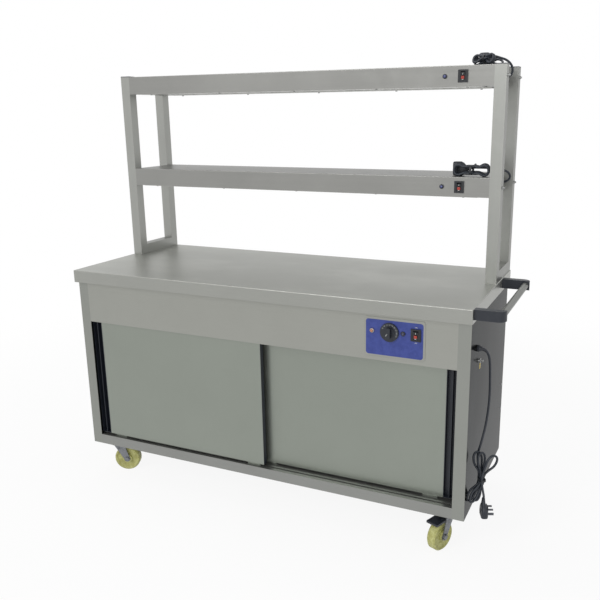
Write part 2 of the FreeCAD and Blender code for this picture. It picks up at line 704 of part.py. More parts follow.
switch_places = {
    "main": ("plate_x + switch_x", "plate_face", "control_z"),
    "upper": ("post_right - gantry_switch_x", "gantry_front", "upper_top - shelf_depth / 2"),
    "lower": ("post_right - gantry_switch_x", "gantry_front", "lower_top - shelf_depth / 2"),
}
keep("switch_frames", group("switch_frame_group",
                            *[switch_frame(f"{where}_frame", *at)
                              for where, at in switch_places.items()]))
for where, at in switch_places.items():
    keep(f"{where}_rocker", rocker(f"{where}_rocker", *at))

lamp_places = {
    "heat_lamp": ("plate_x + heat_lamp_x", "plate_face", "control_z"),
    "power_lamp": ("plate_x + power_lamp_x", "plate_face", "control_z"),
    "upper_pilot": ("post_right - gantry_lamp_x", "gantry_front", "upper_top - shelf_depth / 2"),
    "lower_pilot": ("post_right - gantry_lamp_x", "gantry_front", "lower_top - shelf_depth / 2"),
}
keep("pilot_lamps", group("pilot_lamp_group",
                          *[pilot_lamp(name, *at) for name, at in lamp_places.items()]))

# ---------------------------------------------------------------- gantry


def square_tube(name, at, length, upright=True):
    """Square tube along Z, or along Y."""
    size = ("post_size", "post_size", length) if upright else ("post_size", length, "post_size")
    hollow = "post_size - 2 * post_wall"
    x, y, z = at
    if upright:
        start = (f"{x} + post_wall", f"{y} + post_wall", f"{z} - 1")
        room = (hollow, hollow, f"{length} + 2")
    else:
        start = (f"{x} + post_wall", f"{y} - 1", f"{z} + post_wall")
        room = (hollow, f"{length} + 2", hollow)
    return cut(name, block(name + "_outside", at, size), block(name + "_inside", start, room))


post_corners = {"front_left": ("post_left", "gantry_front"),
                "front_right": ("post_right", "gantry_front"),
                "rear_left": ("post_left", "post_back"),
                "rear_right": ("post_right", "post_back")}
shelf_tops = {"upper": "upper_top", "lower": "lower_top"}
caps = []
bolts = []
for corner, (x, y) in post_corners.items():
    middle = f"{y} + post_size / 2"
    left = "left" in corner
    holes = []
    for shelf, shelf_top in shelf_tops.items():
        z = f"{shelf_top} - shelf_depth / 2"
        holes.append(prism(f"{corner}_{shelf}_hole", (f"{x} - 1", middle, z),
                         "bolt_radius + hole_play", "post_size + 2", TURN_TO_X))
        start = f"{x} - nut_height" if left else f"{x} - shelf_gauge - bolt_end"
        shank = prism(f"{corner}_{shelf}_shank", (start, middle, z), "bolt_radius",
                    "post_size + nut_height + shelf_gauge + bolt_end", TURN_TO_X)
        face = f"{x} - nut_height * 0.55" if left else f"{x} + post_size"
        nut = prism(f"{corner}_{shelf}_nut", (face, middle, z), "nut_radius",
                  "nut_height * 0.55", TURN_TO_X)
        bolts.append(fuse(f"{corner}_{shelf}_bolt", shank, nut))
    post = square_tube(f"{corner}_tube", (x, y, "top"), "gantry_height")
    keep(f"post_{corner}", cut(f"{corner}_post", post, *holes))
    lid = block(f"{corner}_lid", (x, y, "upper_top"), ("post_size", "post_size", "cap_height"))
    spigot = block(f"{corner}_spigot",
                   (f"{x} + post_wall + hole_play", f"{y} + post_wall + hole_play",
                    "upper_top - 10"),
                   ("post_size - 2 * post_wall - 2 * hole_play",
                    "post_size - 2 * post_wall - 2 * hole_play", "10"))
    caps.append(fuse(f"{corner}_cap", lid, spigot))
keep("post_caps", group("cap_group", *caps))
keep("shelf_bolts", group("bolt_group", *bolts))
keep("foot_rails", group(
    "foot_rail_pair",
    *[square_tube(f"foot_{side}", (x, "gantry_front + post_size", "top"),
                  "gantry_depth - 2 * post_size", upright=False)
      for side, x in (("left", "post_left"), ("right", "post_right"))]))

plates = []
lamps = []
screws = []
for shelf, shelf_top in shelf_tops.items():
    base = f"{shelf_top} - shelf_depth"
    outer, inner, mouth = tray(f"{shelf}_shelf", ("shelf_left", "gantry_front", base),
                               ("shelf_length", "gantry_depth", "shelf_depth"),
                               "shelf_gauge", "shelf_hem")
    shell = cut(f"{shelf}_shelf_shell", outer, inner, mouth)

    def shelf_fold(edge, level=shelf_top):
        return on_face(edge, 2, level) and runs_along(edge, 0)

    shell = rounded(f"{shelf}_shelf_rounded", shell, "shelf_round", shelf_fold)
    middle = f"{shelf_top} - shelf_depth / 2"
    holes = [switch_hole(f"{shelf}_switch_hole", *switch_places[shelf]),
             lamp_hole(f"{shelf}_lamp_hole", *lamp_places[f"{shelf}_pilot"]),
             rod(f"{shelf}_gland_hole",
                 ("post_right - 2 * shelf_gauge", "gantry_front + shelf_gland_y",
                  f"{shelf_top} - {shelf}_gland_drop"), "gland_radius - 3",
                 "3 * shelf_gauge", TURN_TO_X)]
    for row, y in enumerate(("gantry_front + post_size / 2", "post_back + post_size / 2")):
        for side, x in (("left", "shelf_left - 1"), ("right", "post_right - 2")):
            holes.append(prism(f"{shelf}_bolt_hole_{side}_{row}", (x, y, middle),
                             "bolt_radius + hole_play", "3", TURN_TO_X))
    screw_holes = []
    for row, y in enumerate(("gantry_front + screw_inset",
                             "gantry_front + gantry_depth - screw_inset")):
        for column in range(5):
            x = f"(shelf_left + post_right) / 2 + ({column} - 2) * screw_pitch"
            under = f"{base} - lamp_plate_gauge"
            screw_holes.append(prism(f"{shelf}_screw_hole_{row}_{column}",
                                   (x, y, f"{under} - 1"), "screw_shank + hole_play",
                                     "5"))
            shank = prism(f"{shelf}_screw_shank_{row}_{column}", (x, y, under),
                          "screw_shank", "screw_length")
            head = prism(f"{shelf}_screw_head_{row}_{column}",
                         (x, y, f"{under} - screw_drop"), "screw_head", "screw_drop")
            screws.append(fuse(f"{shelf}_screw_{row}_{column}", head, shank))
    keep(f"{shelf}_shelf", cut(f"{shelf}_shelf_cut", shell, *holes, *screw_holes))

    # The reflector plate: flat wings under the hems and a trough over the lamp.
    half_mouth, half_roof = "lamp_mouth / 2", "lamp_roof / 2"
    over = "lamp_miter * lamp_plate_gauge"
    wing = "gantry_depth / 2 - 1"
    profile = [(f"-1 * ({wing})", "0"), (f"-1 * {half_mouth}", "0"),
               (f"-1 * {half_roof}", "lamp_rise"), (half_roof, "lamp_rise"),
               (half_mouth, "0"), (wing, "0"), (wing, "lamp_plate_gauge"),
               (f"{half_mouth} + {over}", "lamp_plate_gauge"),
               (f"{half_roof} + {over}", "lamp_rise + lamp_plate_gauge"),
               (f"-1 * ({half_roof} + {over})", "lamp_rise + lamp_plate_gauge"),
               (f"-1 * ({half_mouth} + {over})", "lamp_plate_gauge"),
               (f"-1 * ({wing})", "lamp_plate_gauge")]
    plate = section(f"{shelf}_lamp_plate", "YZ_Plane", profile, "lamp_plate_length",
                    ("(shelf_left + post_right - lamp_plate_length) / 2", "gantry_middle",
                     f"{base} - lamp_plate_gauge"))
    plates.append(cut(f"{shelf}_lamp_plate_bored", plate, *screw_holes))
    roof = f"{base} - lamp_plate_gauge + lamp_rise"
    tube = rod(f"{shelf}_lamp_tube",
               ("(shelf_left + post_right - lamp_span) / 2", "gantry_middle", f"{roof} - 14"),
               "lamp_rod", "lamp_span", TURN_TO_X)
    holders = [block(f"{shelf}_holder_{side}",
                     (f"{x} - holder_size / 2", "gantry_middle - holder_size / 2",
                      f"{roof} - 14 - holder_size / 2"),
                     ("holder_size", "holder_size", "14 + holder_size / 2"))
               for side, x in (("left", "(shelf_left + post_right - lamp_span) / 2"),
                               ("right", "(shelf_left + post_right + lamp_span) / 2"))]
    lamps.append(fuse(f"{shelf}_lamp", tube, *holders))
keep("lamp_plates", group("lamp_plate_pair", *plates))
keep("heat_lamps", group("heat_lamp_pair", *lamps))
keep("plate_screws", group("screw_group", *screws))

# ---------------------------------------------------------------- doors


def door(name, x, y, pull_first):
    """A door pan open at the back, two glides under it and a recessed pull beside it."""
    sheet_x = f"{x} + pull_width" if pull_first else x
    length = "(door_width - pull_width)"
    pan = block(name + "_outside", (sheet_x, y, "door_base"),
                (length, "door_depth", "door_height"))
    room = block(name + "_inside",
                 (f"{sheet_x} + gauge", f"{y} + gauge", "door_base + gauge"),
                 (f"{length} - 2 * gauge", "door_depth - 2 * gauge", "door_height - 2 * gauge"))
    back = block(name + "_back", (f"{sheet_x} + floor_hem", f"{y} + door_depth - 2 * gauge",
                                  "door_base + floor_hem"),
                 (f"{length} - 2 * floor_hem", "3 * gauge", "door_height - 2 * floor_hem"))
    glides = [block(f"{name}_glide_{number}",
                    (f"{sheet_x} + {place}", f"{y} + door_depth / 2 - glide_width / 2",
                     "floor_top - groove_depth + seat_gap"),
                    ("glide_length", "glide_width",
                     "door_lift + groove_depth - seat_gap + gauge / 2"))
              for number, place in ((1, "20"), (2, f"{length} - glide_length - 20"))]
    keep(name, fuse(name + "_fused", cut(name + "_pan", pan, room, back), *glides))
    pull_x = x if pull_first else f"{x} + door_width - pull_width"
    recess = "(pull_width - 3 * pull_wall) / 2"
    pull = block(name + "_pull_outside", (pull_x, y, "door_base"),
                 ("pull_width", "door_depth", "door_height"))
    troughs = [block(f"{name}_pull_recess_{number}",
                     (f"{pull_x} + pull_wall + {number} * ({recess} + pull_wall)",
                      f"{y} - pull_wall", "door_base + pull_wall"),
                     (recess, "door_depth", "door_height - 2 * pull_wall"))
               for number in (0, 1)]
    keep(name + "_pull", cut(name + "_pull_cut", pull, *troughs))


door("left_door", "jamb_left + door_play", "front_door", True)
door("right_door", "jamb_right - door_play - door_width", "rear_door", False)

# ---------------------------------------------------------------- push handle

bracket_base = "top - bracket_drop - bracket_height"
tube_x = "right + handle_reach - tube_inset"
tube_z = "top - bracket_drop - bracket_height / 2"
bracket_ends = {"front": "front + handle_front",
                "rear": "front + handle_front + handle_length - bracket_width"}
brackets = []
for end, y in bracket_ends.items():
    arm = block(f"{end}_arm", ("right", y, bracket_base),
                ("handle_reach", "bracket_width", "bracket_height"))
    outside = y if end == "front" else f"{y} + bracket_width"

    def outer_corner(edge, place=outside):
        return runs_along(edge, 2) and on_face(edge, 0, "right + handle_reach") \
            and on_face(edge, 1, place)

    arm = rounded(f"{end}_arm_rounded", arm, "bracket_corner", outer_corner)
    start = f"{y} + bracket_width - tube_seat" if end == "front" else f"{y} - 1"
    socket = rod(f"{end}_socket", (tube_x, start, tube_z), "handle_tube + running_clearance",
                 "tube_seat + 1", TURN_TO_Y)
    brackets.append(cut(f"{end}_bracket", arm, socket))
keep("handle_brackets", group("bracket_pair", *brackets))
grip_start = "front + handle_front + bracket_width - tube_seat + 1"
keep("handle_tube", rod("grip_tube", (tube_x, grip_start, tube_z), "handle_tube",
                        "handle_length - 2 * bracket_width + 2 * tube_seat - 2", TURN_TO_Y))

# ---------------------------------------------------------------- casters

caster_corners = {"fl": ("body_left + caster_side", "body_front + caster_end"),
                  "fr": ("body_right - caster_side", "body_front + caster_end"),
                  "rl": ("body_left + caster_side", "body_rear - caster_end"),
                  "rr": ("body_right - caster_side", "body_rear - caster_end")}
mounting = []
for corner, (x, y) in caster_corners.items():
    heading = Rotation(Vector(0, 0, 1), value(f"heading_{corner}"))
    plate = block(f"{corner}_mount",
                  (f"{x} - caster_plate_length / 2", f"{y} - caster_plate_width / 2",
                   "caster_height - caster_plate_gauge"),
                  ("caster_plate_length", "caster_plate_width", "caster_plate_gauge"))
    race = rod(f"{corner}_race", (x, y, "crown_top + seat_gap"), "race_radius",
               "race_height + 0.5")
    pin = rod(f"{corner}_kingpin", (x, y, "crown_base - seat_gap - 6"), "kingpin_radius",
              "crown_height + 2 * seat_gap + 8")
    nut = prism(f"{corner}_kingpin_nut", (x, y, "crown_base - seat_gap - 6"),
              "kingpin_radius + 4", "6")
    mounting.append(fuse(f"{corner}_mounting", plate, race, pin, nut))

    # Fork: the trail runs along its own X. The axle's bolt is a solid of its own.
    crown = rod(f"{corner}_crown", ("0", "0", "crown_base"), "race_radius + 1", "crown_height")
    legs = []
    for side, near in (("inner", "-1 * fork_inside / 2 - fork_gauge"),
                       ("outer", "fork_inside / 2")):
        blade = section(f"{corner}_{side}_blade", "XZ_Plane",
                        [("-14", "crown_base + 2"), ("30", "crown_base + 2"),
                         ("31", "crown_base - 11"), ("caster_trail + 12", "wheel_radius"),
                         ("caster_trail - 12", "wheel_radius")],
                        "fork_gauge", ("0", near, "0"), back=True)
        boss = rod(f"{corner}_{side}_boss", ("caster_trail", near, "wheel_radius"), "12",
                   "fork_gauge", TURN_TO_Y)
        legs += [blade, boss]
    axle_hole = rod(f"{corner}_axle_hole",
                    ("caster_trail", "-1 * fork_inside", "wheel_radius"),
                    "axle_radius + running_clearance", "2 * fork_inside", TURN_TO_Y)
    pin_hole = rod(f"{corner}_pin_hole", ("0", "0", "crown_base - 1"),
                   "kingpin_radius + running_clearance", "crown_height + 2")
    yoke = cut(f"{corner}_yoke", fuse(f"{corner}_yoke_solid", crown, *legs), axle_hole, pin_hole)
    outside = "(fork_inside / 2 + fork_gauge)"
    braked = corner in ("fr", "rr")
    if braked:
        brake_pin = rod(f"{corner}_brake_pin",
                        ("pedal_pivot", "-1 * fork_inside / 2 - 1", "pedal_level"),
                        "pedal_pin", "fork_inside + 2", TURN_TO_Y)
        yoke = fuse(f"{corner}_yoke_pinned", yoke, brake_pin)
    axle = rod(f"{corner}_axle", ("caster_trail", f"-1 * {outside} - 5", "wheel_radius"),
               "axle_radius", f"2 * {outside} + 10", TURN_TO_Y)
    heads = [prism(f"{corner}_axle_{end}", ("caster_trail", at, "wheel_radius"),
                 "axle_radius + 3.5", "5", TURN_TO_Y)
             for end, at in (("head", f"-1 * {outside} - 5"), ("nut", outside))]
    bolt = fuse(f"{corner}_axle_bolt", axle, *heads)
    keep(f"caster_{corner}_fork", seat(group(f"{corner}_fork", yoke, bolt), (x, y, "0"), heading))

    wheel = doc.addObject("PartDesign::Body", f"{corner}_wheel")
    tread, hub = "wheel_width / 2", "(fork_inside / 2 - seat_gap)"
    half = [("axle_radius + running_clearance", hub), ("hub_radius", hub),
            ("hub_radius", "wheel_width / 2 - 5"), ("wheel_radius - 14", "wheel_width / 2 - 5"),
            ("wheel_radius - wheel_edge", tread), ("wheel_radius", f"{tread} - wheel_edge")]
    profile = half + [(u, f"-1 * ({v})") for u, v in half[::-1]]
    spin(wheel, f"{corner}_wheel_turned",
         outline(wheel, f"{corner}_wheel_profile", "XY_Plane", profile), "V_Axis")
    rim = group(f"{corner}_wheel_seated", seat(wheel, ("caster_trail", "0", "wheel_radius")))
    keep(f"caster_{corner}_wheel", seat(rim, (x, y, "0"), heading))
    if braked:
        arm = block(f"{corner}_pedal_arm",
                    ("pedal_pivot - 5", "-1 * pedal_width / 2", "pedal_level - 3.5"),
                    ("16", "pedal_width", "7"))
        tread_pad = block(f"{corner}_pedal_pad",
                          ("pedal_pivot + 9", "-1 * pedal_width / 2 - 4", "pedal_level - 3"),
                          ("pedal_reach - pedal_pivot - 9", "pedal_width + 8", "7"))
        bore = rod(f"{corner}_pedal_bore",
                   ("pedal_pivot", "-1 * pedal_width", "pedal_level"),
                   "pedal_pin + running_clearance", "2 * pedal_width", TURN_TO_Y)
        pedal = cut(f"{corner}_pedal", fuse(f"{corner}_pedal_solid", arm, tread_pad), bore)
        keep(f"caster_{corner}_pedal", seat(pedal, (x, y, "0"), heading))
keep("caster_plates", group("mounting_group", *mounting))

# ---------------------------------------------------------------- cord outlets


def gland(name, x, y, z, length):
    """A cord gland: a stem through the panel, a nut and a sleeve that narrows to the cord."""
    stem = rod(name + "_stem", (f"{x} - 8", y, z), "gland_radius - 3 - hole_play", "9", TURN_TO_X)
    nut = prism(name + "_nut", (x, y, z), "gland_radius", f"{length} * 0.4", TURN_TO_X)
    sleeve = doc.addObject("Part::Cone", name + "_sleeve")
    sleeve.setExpression("Radius1", bound("gland_radius - 1"))
    sleeve.setExpression("Radius2", bound("gland_radius * 0.6"))
    sleeve.setExpression("Height", bound(f"{length} * 0.6"))
    seat(sleeve, (f"{x} + {length} * 0.4", y, z), TURN_TO_X)
    bore = rod(name + "_bore", (f"{x} - 9", y, z), "cord_diameter / 2 + seat_gap",
               f"{length} + 20", TURN_TO_X)
    return cut(name, fuse(name + "_solid", stem, nut, sleeve), bore)


gland_places = {
    "main": ("body_right", "front + main_gland_y", "main_gland_z", "main_gland_length"),
    "upper": ("post_right", "gantry_front + shelf_gland_y", "upper_top - upper_gland_drop",
              "shelf_gland_length"),
    "lower": ("post_right", "gantry_front + shelf_gland_y", "lower_top - lower_gland_drop",
              "shelf_gland_length"),
}
keep("cord_glands", group("gland_group", *[gland(f"{name}_gland", *at)
                                           for name, at in gland_places.items()]))

stud = rod("earth_stud", ("body_right - 12", "front + earth_y", "earth_z"),
           "earth_radius - hole_play", "26", TURN_TO_X)
stud_nut = rod("earth_nut", ("body_right", "front + earth_y", "earth_z"), "earth_radius + 3.5",
               "6", TURN_TO_X)
keep("earth_stud", fuse("earth_fused", stud, stud_nut))

# ---------------------------------------------------------------- cords

# The points of a cord are chosen by hand, along its centre line. They are measured
# from the place where the cord enters its gland, so they follow the gland.
radius = value("cord_diameter / 2")


def gland_end(name):
    x, y, z, length = gland_places[name]
    return Vector(value(f"{x} + {length} - cord_seat"), value(y), value(z))


def bend_at(before, corner, after):
    """Tangent points, middle and radius of the arc that rounds a corner."""
    come, leave = (corner - before), (after - corner)
    reach = 0.45 * min(come.Length, leave.Length)
    come.normalize()
    leave.normalize()
    half = come.getAngle(leave) / 2
    size = reach / math.tan(half)
    inward = (leave - come).normalize()
    return (corner - come * reach, corner + inward * (size / math.cos(half) - size),
            corner + leave * reach, size)


def cord(node, points):
    """A tube of straight runs joined by tangent arcs."""
    edges, sizes_met, start = [], [], points[0]
    for before, corner, after in zip(points, points[1:], points[2:]):
        first, middle, last, size = bend_at(before, corner, after)
        edges += [Part.LineSegment(start, first).toShape(),
                  Part.Arc(first, middle, last).toShape()]
        sizes_met.append(size)
        start = last
    edges.append(Part.LineSegment(start, points[-1]).toShape())
    spine = Part.Wire(edges)
    ahead = (points[1] - points[0]).normalize()
    aside = ahead.cross(Vector(0.1, 0.2, 1)).normalize()
    above = aside.cross(ahead)
    around = [math.radians(45 * number) for number in range(8)]
    ring = Part.makePolygon([points[0] + aside * (radius * math.cos(angle))
                             + above * (radius * math.sin(angle)) for angle in around + around[:1]])
    solid = spine.makePipeShell([ring], True, False)
    expected = 4 * radius ** 2 * math.sin(math.radians(45)) * spine.Length
    if abs(solid.Volume - expected) > 0.004 * expected:
        raise RuntimeError(f"{node} has the wrong volume: {solid.Volume:.0f}, {expected:.0f}")
    print(f"{node}: {spine.Length:.0f} long, radii",
          " ".join(f"{size:.0f}" for size in sizes_met))
    return solid


def fixed(node, shape):
    item = doc.addObject("Part::Feature", node + "_shape")
    item.Shape = shape
    return keep(node, item)


def route(name, steps):
    """Points of a cord, from its gland's end and steps measured from there."""
    start = gland_end(name)
    return [start] + [start + Vector(*step) for step in steps]


main_lead = [(24, 0, 0), (35, 4, -22), (40, 9, -62), (41, 13, -107), (39, 13, -150),
             (35, 8, -192), (31, 0, -232), (27, -12, -270), (18, -26, -302),
             (13, -34, -322), (13, -34, -336)]
upper_lead = [(22, 0, 0), (38, 0, 12), (36, -2, 34), (18, -8, 50), (-8, -17, 54),
              (-22, -22, 53), (-35, -22, 53)]
lower_lead = [(22, 0, 0), (40, -2, 10), (36, -8, 30), (14, -22, 40), (-8, -42, 42),
              (-22, -58, 42), (-22, -75, 42)]
fixed("main_cord", cord("main_cord", route("main", main_lead)))
fixed("upper_cord", cord("upper_cord", route("upper", upper_lead)))
fixed("lower_cord", cord("lower_cord", route("lower", lower_lead)))

# Each cord's spare length is folded into a hank. The cabinet's hangs beside the side
# panel, narrow at its tie and wide at its loops. The shelves' hanks lie on the shelves.
main_bundle = section("main_hank_outline", "XZ_Plane",
                      [("-27", "92"), ("-31", "62"), ("-12", "14"), ("-12", "-16"),
                       ("-28", "-58"), ("-24", "-78"), ("24", "-78"), ("28", "-58"),
                       ("12", "-16"), ("12", "14"), ("31", "62"), ("27", "92")],
                      "20", ("0", "-10", "0"), back=True)
keep("main_hank", seat(group("main_hank_turned", main_bundle),
                       ("right + 26", "front + 86", "main_gland_z - 428"),
                       Rotation(Vector(0, 0, 1), 45)))
keep("upper_hank", section("upper_hank_outline", "XY_Plane",
                           [("18", "0"), ("58", "0"), ("76", "18"), ("76", "58"),
                            ("58", "76"), ("18", "76"), ("0", "58"), ("0", "18")], "38",
                           ("right - 146", "rear - 200", "upper_top + seat_gap")))
keep("lower_hank", section("lower_hank_outline", "XZ_Plane",
                           [("0", "0"), ("34", "0"), ("46", "7"), ("68", "7"), ("80", "0"),
                            ("114", "0"), ("114", "36"), ("80", "36"), ("68", "27"),
                            ("46", "27"), ("34", "36"), ("0", "36")], "38",
                           ("right - 164", "rear - 238", "lower_top + seat_gap"), back=True))


def plug(node, at, turn):
    """A plug with three flat pins. Its cord comes in along its own Z, above the line pins."""
    wide, shoulder = "plug_width / 2", "-0.3 * plug_length"
    body = section(node + "_body", "YZ_Plane",
                   [("-5", "0"), (f"-1 * {wide}", shoulder), (f"-1 * {wide}", "-1 * plug_length"),
                    (wide, "-1 * plug_length"), (wide, shoulder), ("5", "0")],
                   "plug_depth", ("0", "0", "0"))
    line = "-0.42 * plug_length"
    pins = [block(f"{node}_line_pin_{number}",
                  ("plug_depth - 2", f"{side} * pin_spread / 2 - 3.2", f"{line} - 2"),
                  ("19.7", "6.4", "4")) for number, side in ((1, "-1"), (2, "1"))]
    pins.append(block(f"{node}_earth_pin", ("plug_depth - 2", "-2", f"{line} - pin_spread - 4"),
                      ("24.7", "4", "8")))
    return keep(node, seat(fuse(node + "_solid", body, *pins), at, turn))


ON_ITS_SIDE = Rotation(Vector(1, 1, 1), 120)
plug("main_plug", ("right + 11", "front + 95", "main_gland_z - 506"), Rotation())
plug("upper_plug", ("right - 70", "rear - 124", "upper_top + seat_gap + plug_width / 2"),
     ON_ITS_SIDE)
plug("lower_plug", ("right - 128", "rear - 200", "lower_top + seat_gap + plug_width / 2"),
     ON_ITS_SIDE)

# ---------------------------------------------------------------- check and write

doc.recompute()
for item in doc.Objects:
    if any(word in item.State for word in ("Invalid", "Error")):
        raise RuntimeError(f"{item.Name} is {item.State}")
for node, item in parts.items():
    shape = item.Shape
    if shape.isNull() or not shape.isValid() or not shape.Solids:
        raise RuntimeError(f"{node} has no valid solid")
os.makedirs("parts", exist_ok=True)
for node, item in parts.items():
    item.Shape.exportStep(f"parts/{node}.step")
    box = item.Shape.BoundBox
    print(f"{node}: {len(item.Shape.Solids)} solid(s), x {box.XMin:.1f}..{box.XMax:.1f}, "
          f"y {box.YMin:.1f}..{box.YMax:.1f}, z {box.ZMin:.1f}..{box.ZMax:.1f}")
print(len(parts), "sub-parts")
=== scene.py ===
# %% [markdown]
# # A heated servery trolley in stainless steel
#
# The trolley is a sliding-door hot cupboard on four casters, with a two-shelf gantry over
# its worktop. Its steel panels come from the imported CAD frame, already in place and in
# metres. This lesson dresses that frame: it gives each finish its own procedural
# material, and it models what a CAD solid only stands in for, such as folded cords.

# %% Load the frame
import math

import bmesh
import bpy
from mathutils import Matrix, Vector


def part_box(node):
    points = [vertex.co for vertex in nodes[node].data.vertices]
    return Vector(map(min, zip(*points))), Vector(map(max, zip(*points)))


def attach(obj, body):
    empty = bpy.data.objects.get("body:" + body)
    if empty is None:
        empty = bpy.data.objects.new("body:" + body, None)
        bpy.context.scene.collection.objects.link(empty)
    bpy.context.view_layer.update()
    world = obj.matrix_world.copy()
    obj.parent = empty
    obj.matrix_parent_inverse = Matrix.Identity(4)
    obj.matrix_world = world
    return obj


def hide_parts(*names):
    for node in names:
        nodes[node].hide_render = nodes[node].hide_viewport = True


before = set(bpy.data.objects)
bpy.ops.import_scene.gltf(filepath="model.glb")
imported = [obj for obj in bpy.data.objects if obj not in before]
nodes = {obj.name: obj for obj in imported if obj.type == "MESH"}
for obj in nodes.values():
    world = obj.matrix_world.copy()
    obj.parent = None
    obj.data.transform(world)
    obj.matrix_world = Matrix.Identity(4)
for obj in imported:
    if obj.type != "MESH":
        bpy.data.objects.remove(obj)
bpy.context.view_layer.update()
scene = bpy.context.scene


def short(numbers, digits=3):
    """Rounded numbers, for printing."""
    return tuple(round(number, digits) for number in numbers)


def added(name, data):
    """A new object with this data, linked into the scene."""
    made = bpy.data.objects.new(name, data)
    scene.collection.objects.link(made)
    return made


# %% [markdown]
# ## Shader maths that reads like maths
#
# A material is a graph of nodes. Writing `mask * 0.4 + 0.1` is easier to follow than
# adding two Math nodes by hand, so `Value` wraps a socket and turns each operator into
# its node. `Graph` has the one method `node` that adds any other node: settings first,
# then the values or links of its sockets. `Finish` is the graph of a material.

# %% Operators on sockets


class Value:
    """One output socket. A sum that is written with it adds its Math nodes."""

    def __init__(self, graph, socket):
        self.graph, self.socket = graph, socket

    def maths(self, operation, *others):
        return self.graph.node("ShaderNodeMath", {"operation": operation},
                               dict(enumerate((self, *others))))

    def __add__(self, other): return self.maths("ADD", other)
    def __sub__(self, other): return self.maths("SUBTRACT", other)
    def __mul__(self, other): return self.maths("MULTIPLY", other)
    def __pow__(self, other): return self.maths("POWER", other)
    def __gt__(self, other): return self.maths("GREATER_THAN", other)
    def __abs__(self): return self.maths("ABSOLUTE")
    def __rsub__(self, other): return self * -1.0 + other
    __radd__, __rmul__ = __add__, __mul__

    def smooth(self, low, high):
        """0 below low, 1 above high, and a soft step between them."""
        return self.graph.node("ShaderNodeMapRange", {"interpolation_type": "SMOOTHSTEP"},
                               {0: self, 1: low, 2: high})


class Graph:
    """The nodes of a material or of the world."""

    def __init__(self, tree):
        self.tree = tree

    def node(self, kind, settings=None, inputs=None, out=0):
        made = self.tree.nodes.new(kind)
        for name, value in (settings or {}).items():
            setattr(made, name, value)
        for name, value in (inputs or {}).items():
            self.feed(made.inputs[name], value)
        return Value(self, made.outputs[out])

    def feed(self, socket, value):
        if isinstance(value, Value):
            self.tree.links.new(value.socket, socket)
        elif socket.type == "RGBA":
            socket.default_value = (*value, 1)
        else:
            socket.default_value = value

    def seen_directly(self):
        """1 for rays from the camera and for reflected or transmitted ones."""
        camera_ray, glossy_ray, passing_ray = (
            self.node("ShaderNodeLightPath", out=f"Is {kind} Ray")
            for kind in ("Camera", "Glossy", "Transmission"))
        return self.node("ShaderNodeMath", {"operation": "ADD", "use_clamp": True},
                         {0: camera_ray + glossy_ray, 1: passing_ray})


class Finish(Graph):
    """A material with one Principled shader, and the tools to vary it over a surface."""

    def __init__(self, name):
        self.material = bpy.data.materials.new(name)
        self.material.use_nodes = True
        super().__init__(self.material.node_tree)
        self.shader = self.tree.nodes["Principled BSDF"]

    def place(self):
        """The point on the piece, in metres, in the trolley's own frame."""
        return self.node("ShaderNodeTexCoord", out="Object")

    def place_parts(self):
        """That point's x, y and z."""
        split = self.node("ShaderNodeSeparateXYZ", inputs={0: self.place()}).socket.node
        return [Value(self, socket) for socket in split.outputs]

    def noise(self, scale, detail=3.0, stretch=(1, 1, 1), roughness=0.5):
        place = self.node("ShaderNodeVectorMath", {"operation": "MULTIPLY"},
                          {0: self.place(), 1: stretch})
        return self.node("ShaderNodeTexNoise", inputs={
            "Vector": place, "Scale": scale, "Detail": detail, "Roughness": roughness})

    def blend(self, amount, low, high):
        return self.node("ShaderNodeMix", {"data_type": "RGBA"},
                         {0: amount, 6: low, 7: high}, out=2)

    def bump(self, height, strength, distance):
        return self.node("ShaderNodeBump", inputs={
            "Height": height, "Strength": strength, "Distance": distance})

    def surface(self, **sockets):
        for name, value in sockets.items():
            self.feed(self.shader.inputs[name.replace("_", " ")], value)
        return self.material


def linear(red, green, blue):
    """A colour given in 0..255 display steps, as the linear one that a shader takes."""
    return tuple(round((step / 255) ** 2.2, 4) for step in (red, green, blue))


def shades(colour, low, high):
    """A darker and a lighter version of a colour, as two multiples of it."""
    return [tuple(min(1.0, factor * part) for part in colour) for factor in (low, high)]


print("worktop steel as linear colour:", linear(155, 156, 151))

# %% [markdown]
# ## Brushed steel
#
# The panels are satin sheet: fine scratches all run one way, the reflection is smeared
# along them, and hands and cloths leave faint clouds. One function makes the whole
# family. Noise that is stretched hard along the grain gives the scratches, a broad noise
# gives the clouds, and both move the roughness a little more than the colour.

# %% Steel finishes
METAL = 0.82  # Metallic of all the steel
DOOR_SHADE_EDGE = (-0.0262, -0.0256)  # x where the painted shade on the left door's side return starts


def grain_along(axis):
    """Stretches noise along X, Y or Z, given as 0, 1 or 2, so that it looks like scratches."""
    return tuple(0.012 if number == axis else 1.0 for number in range(3))


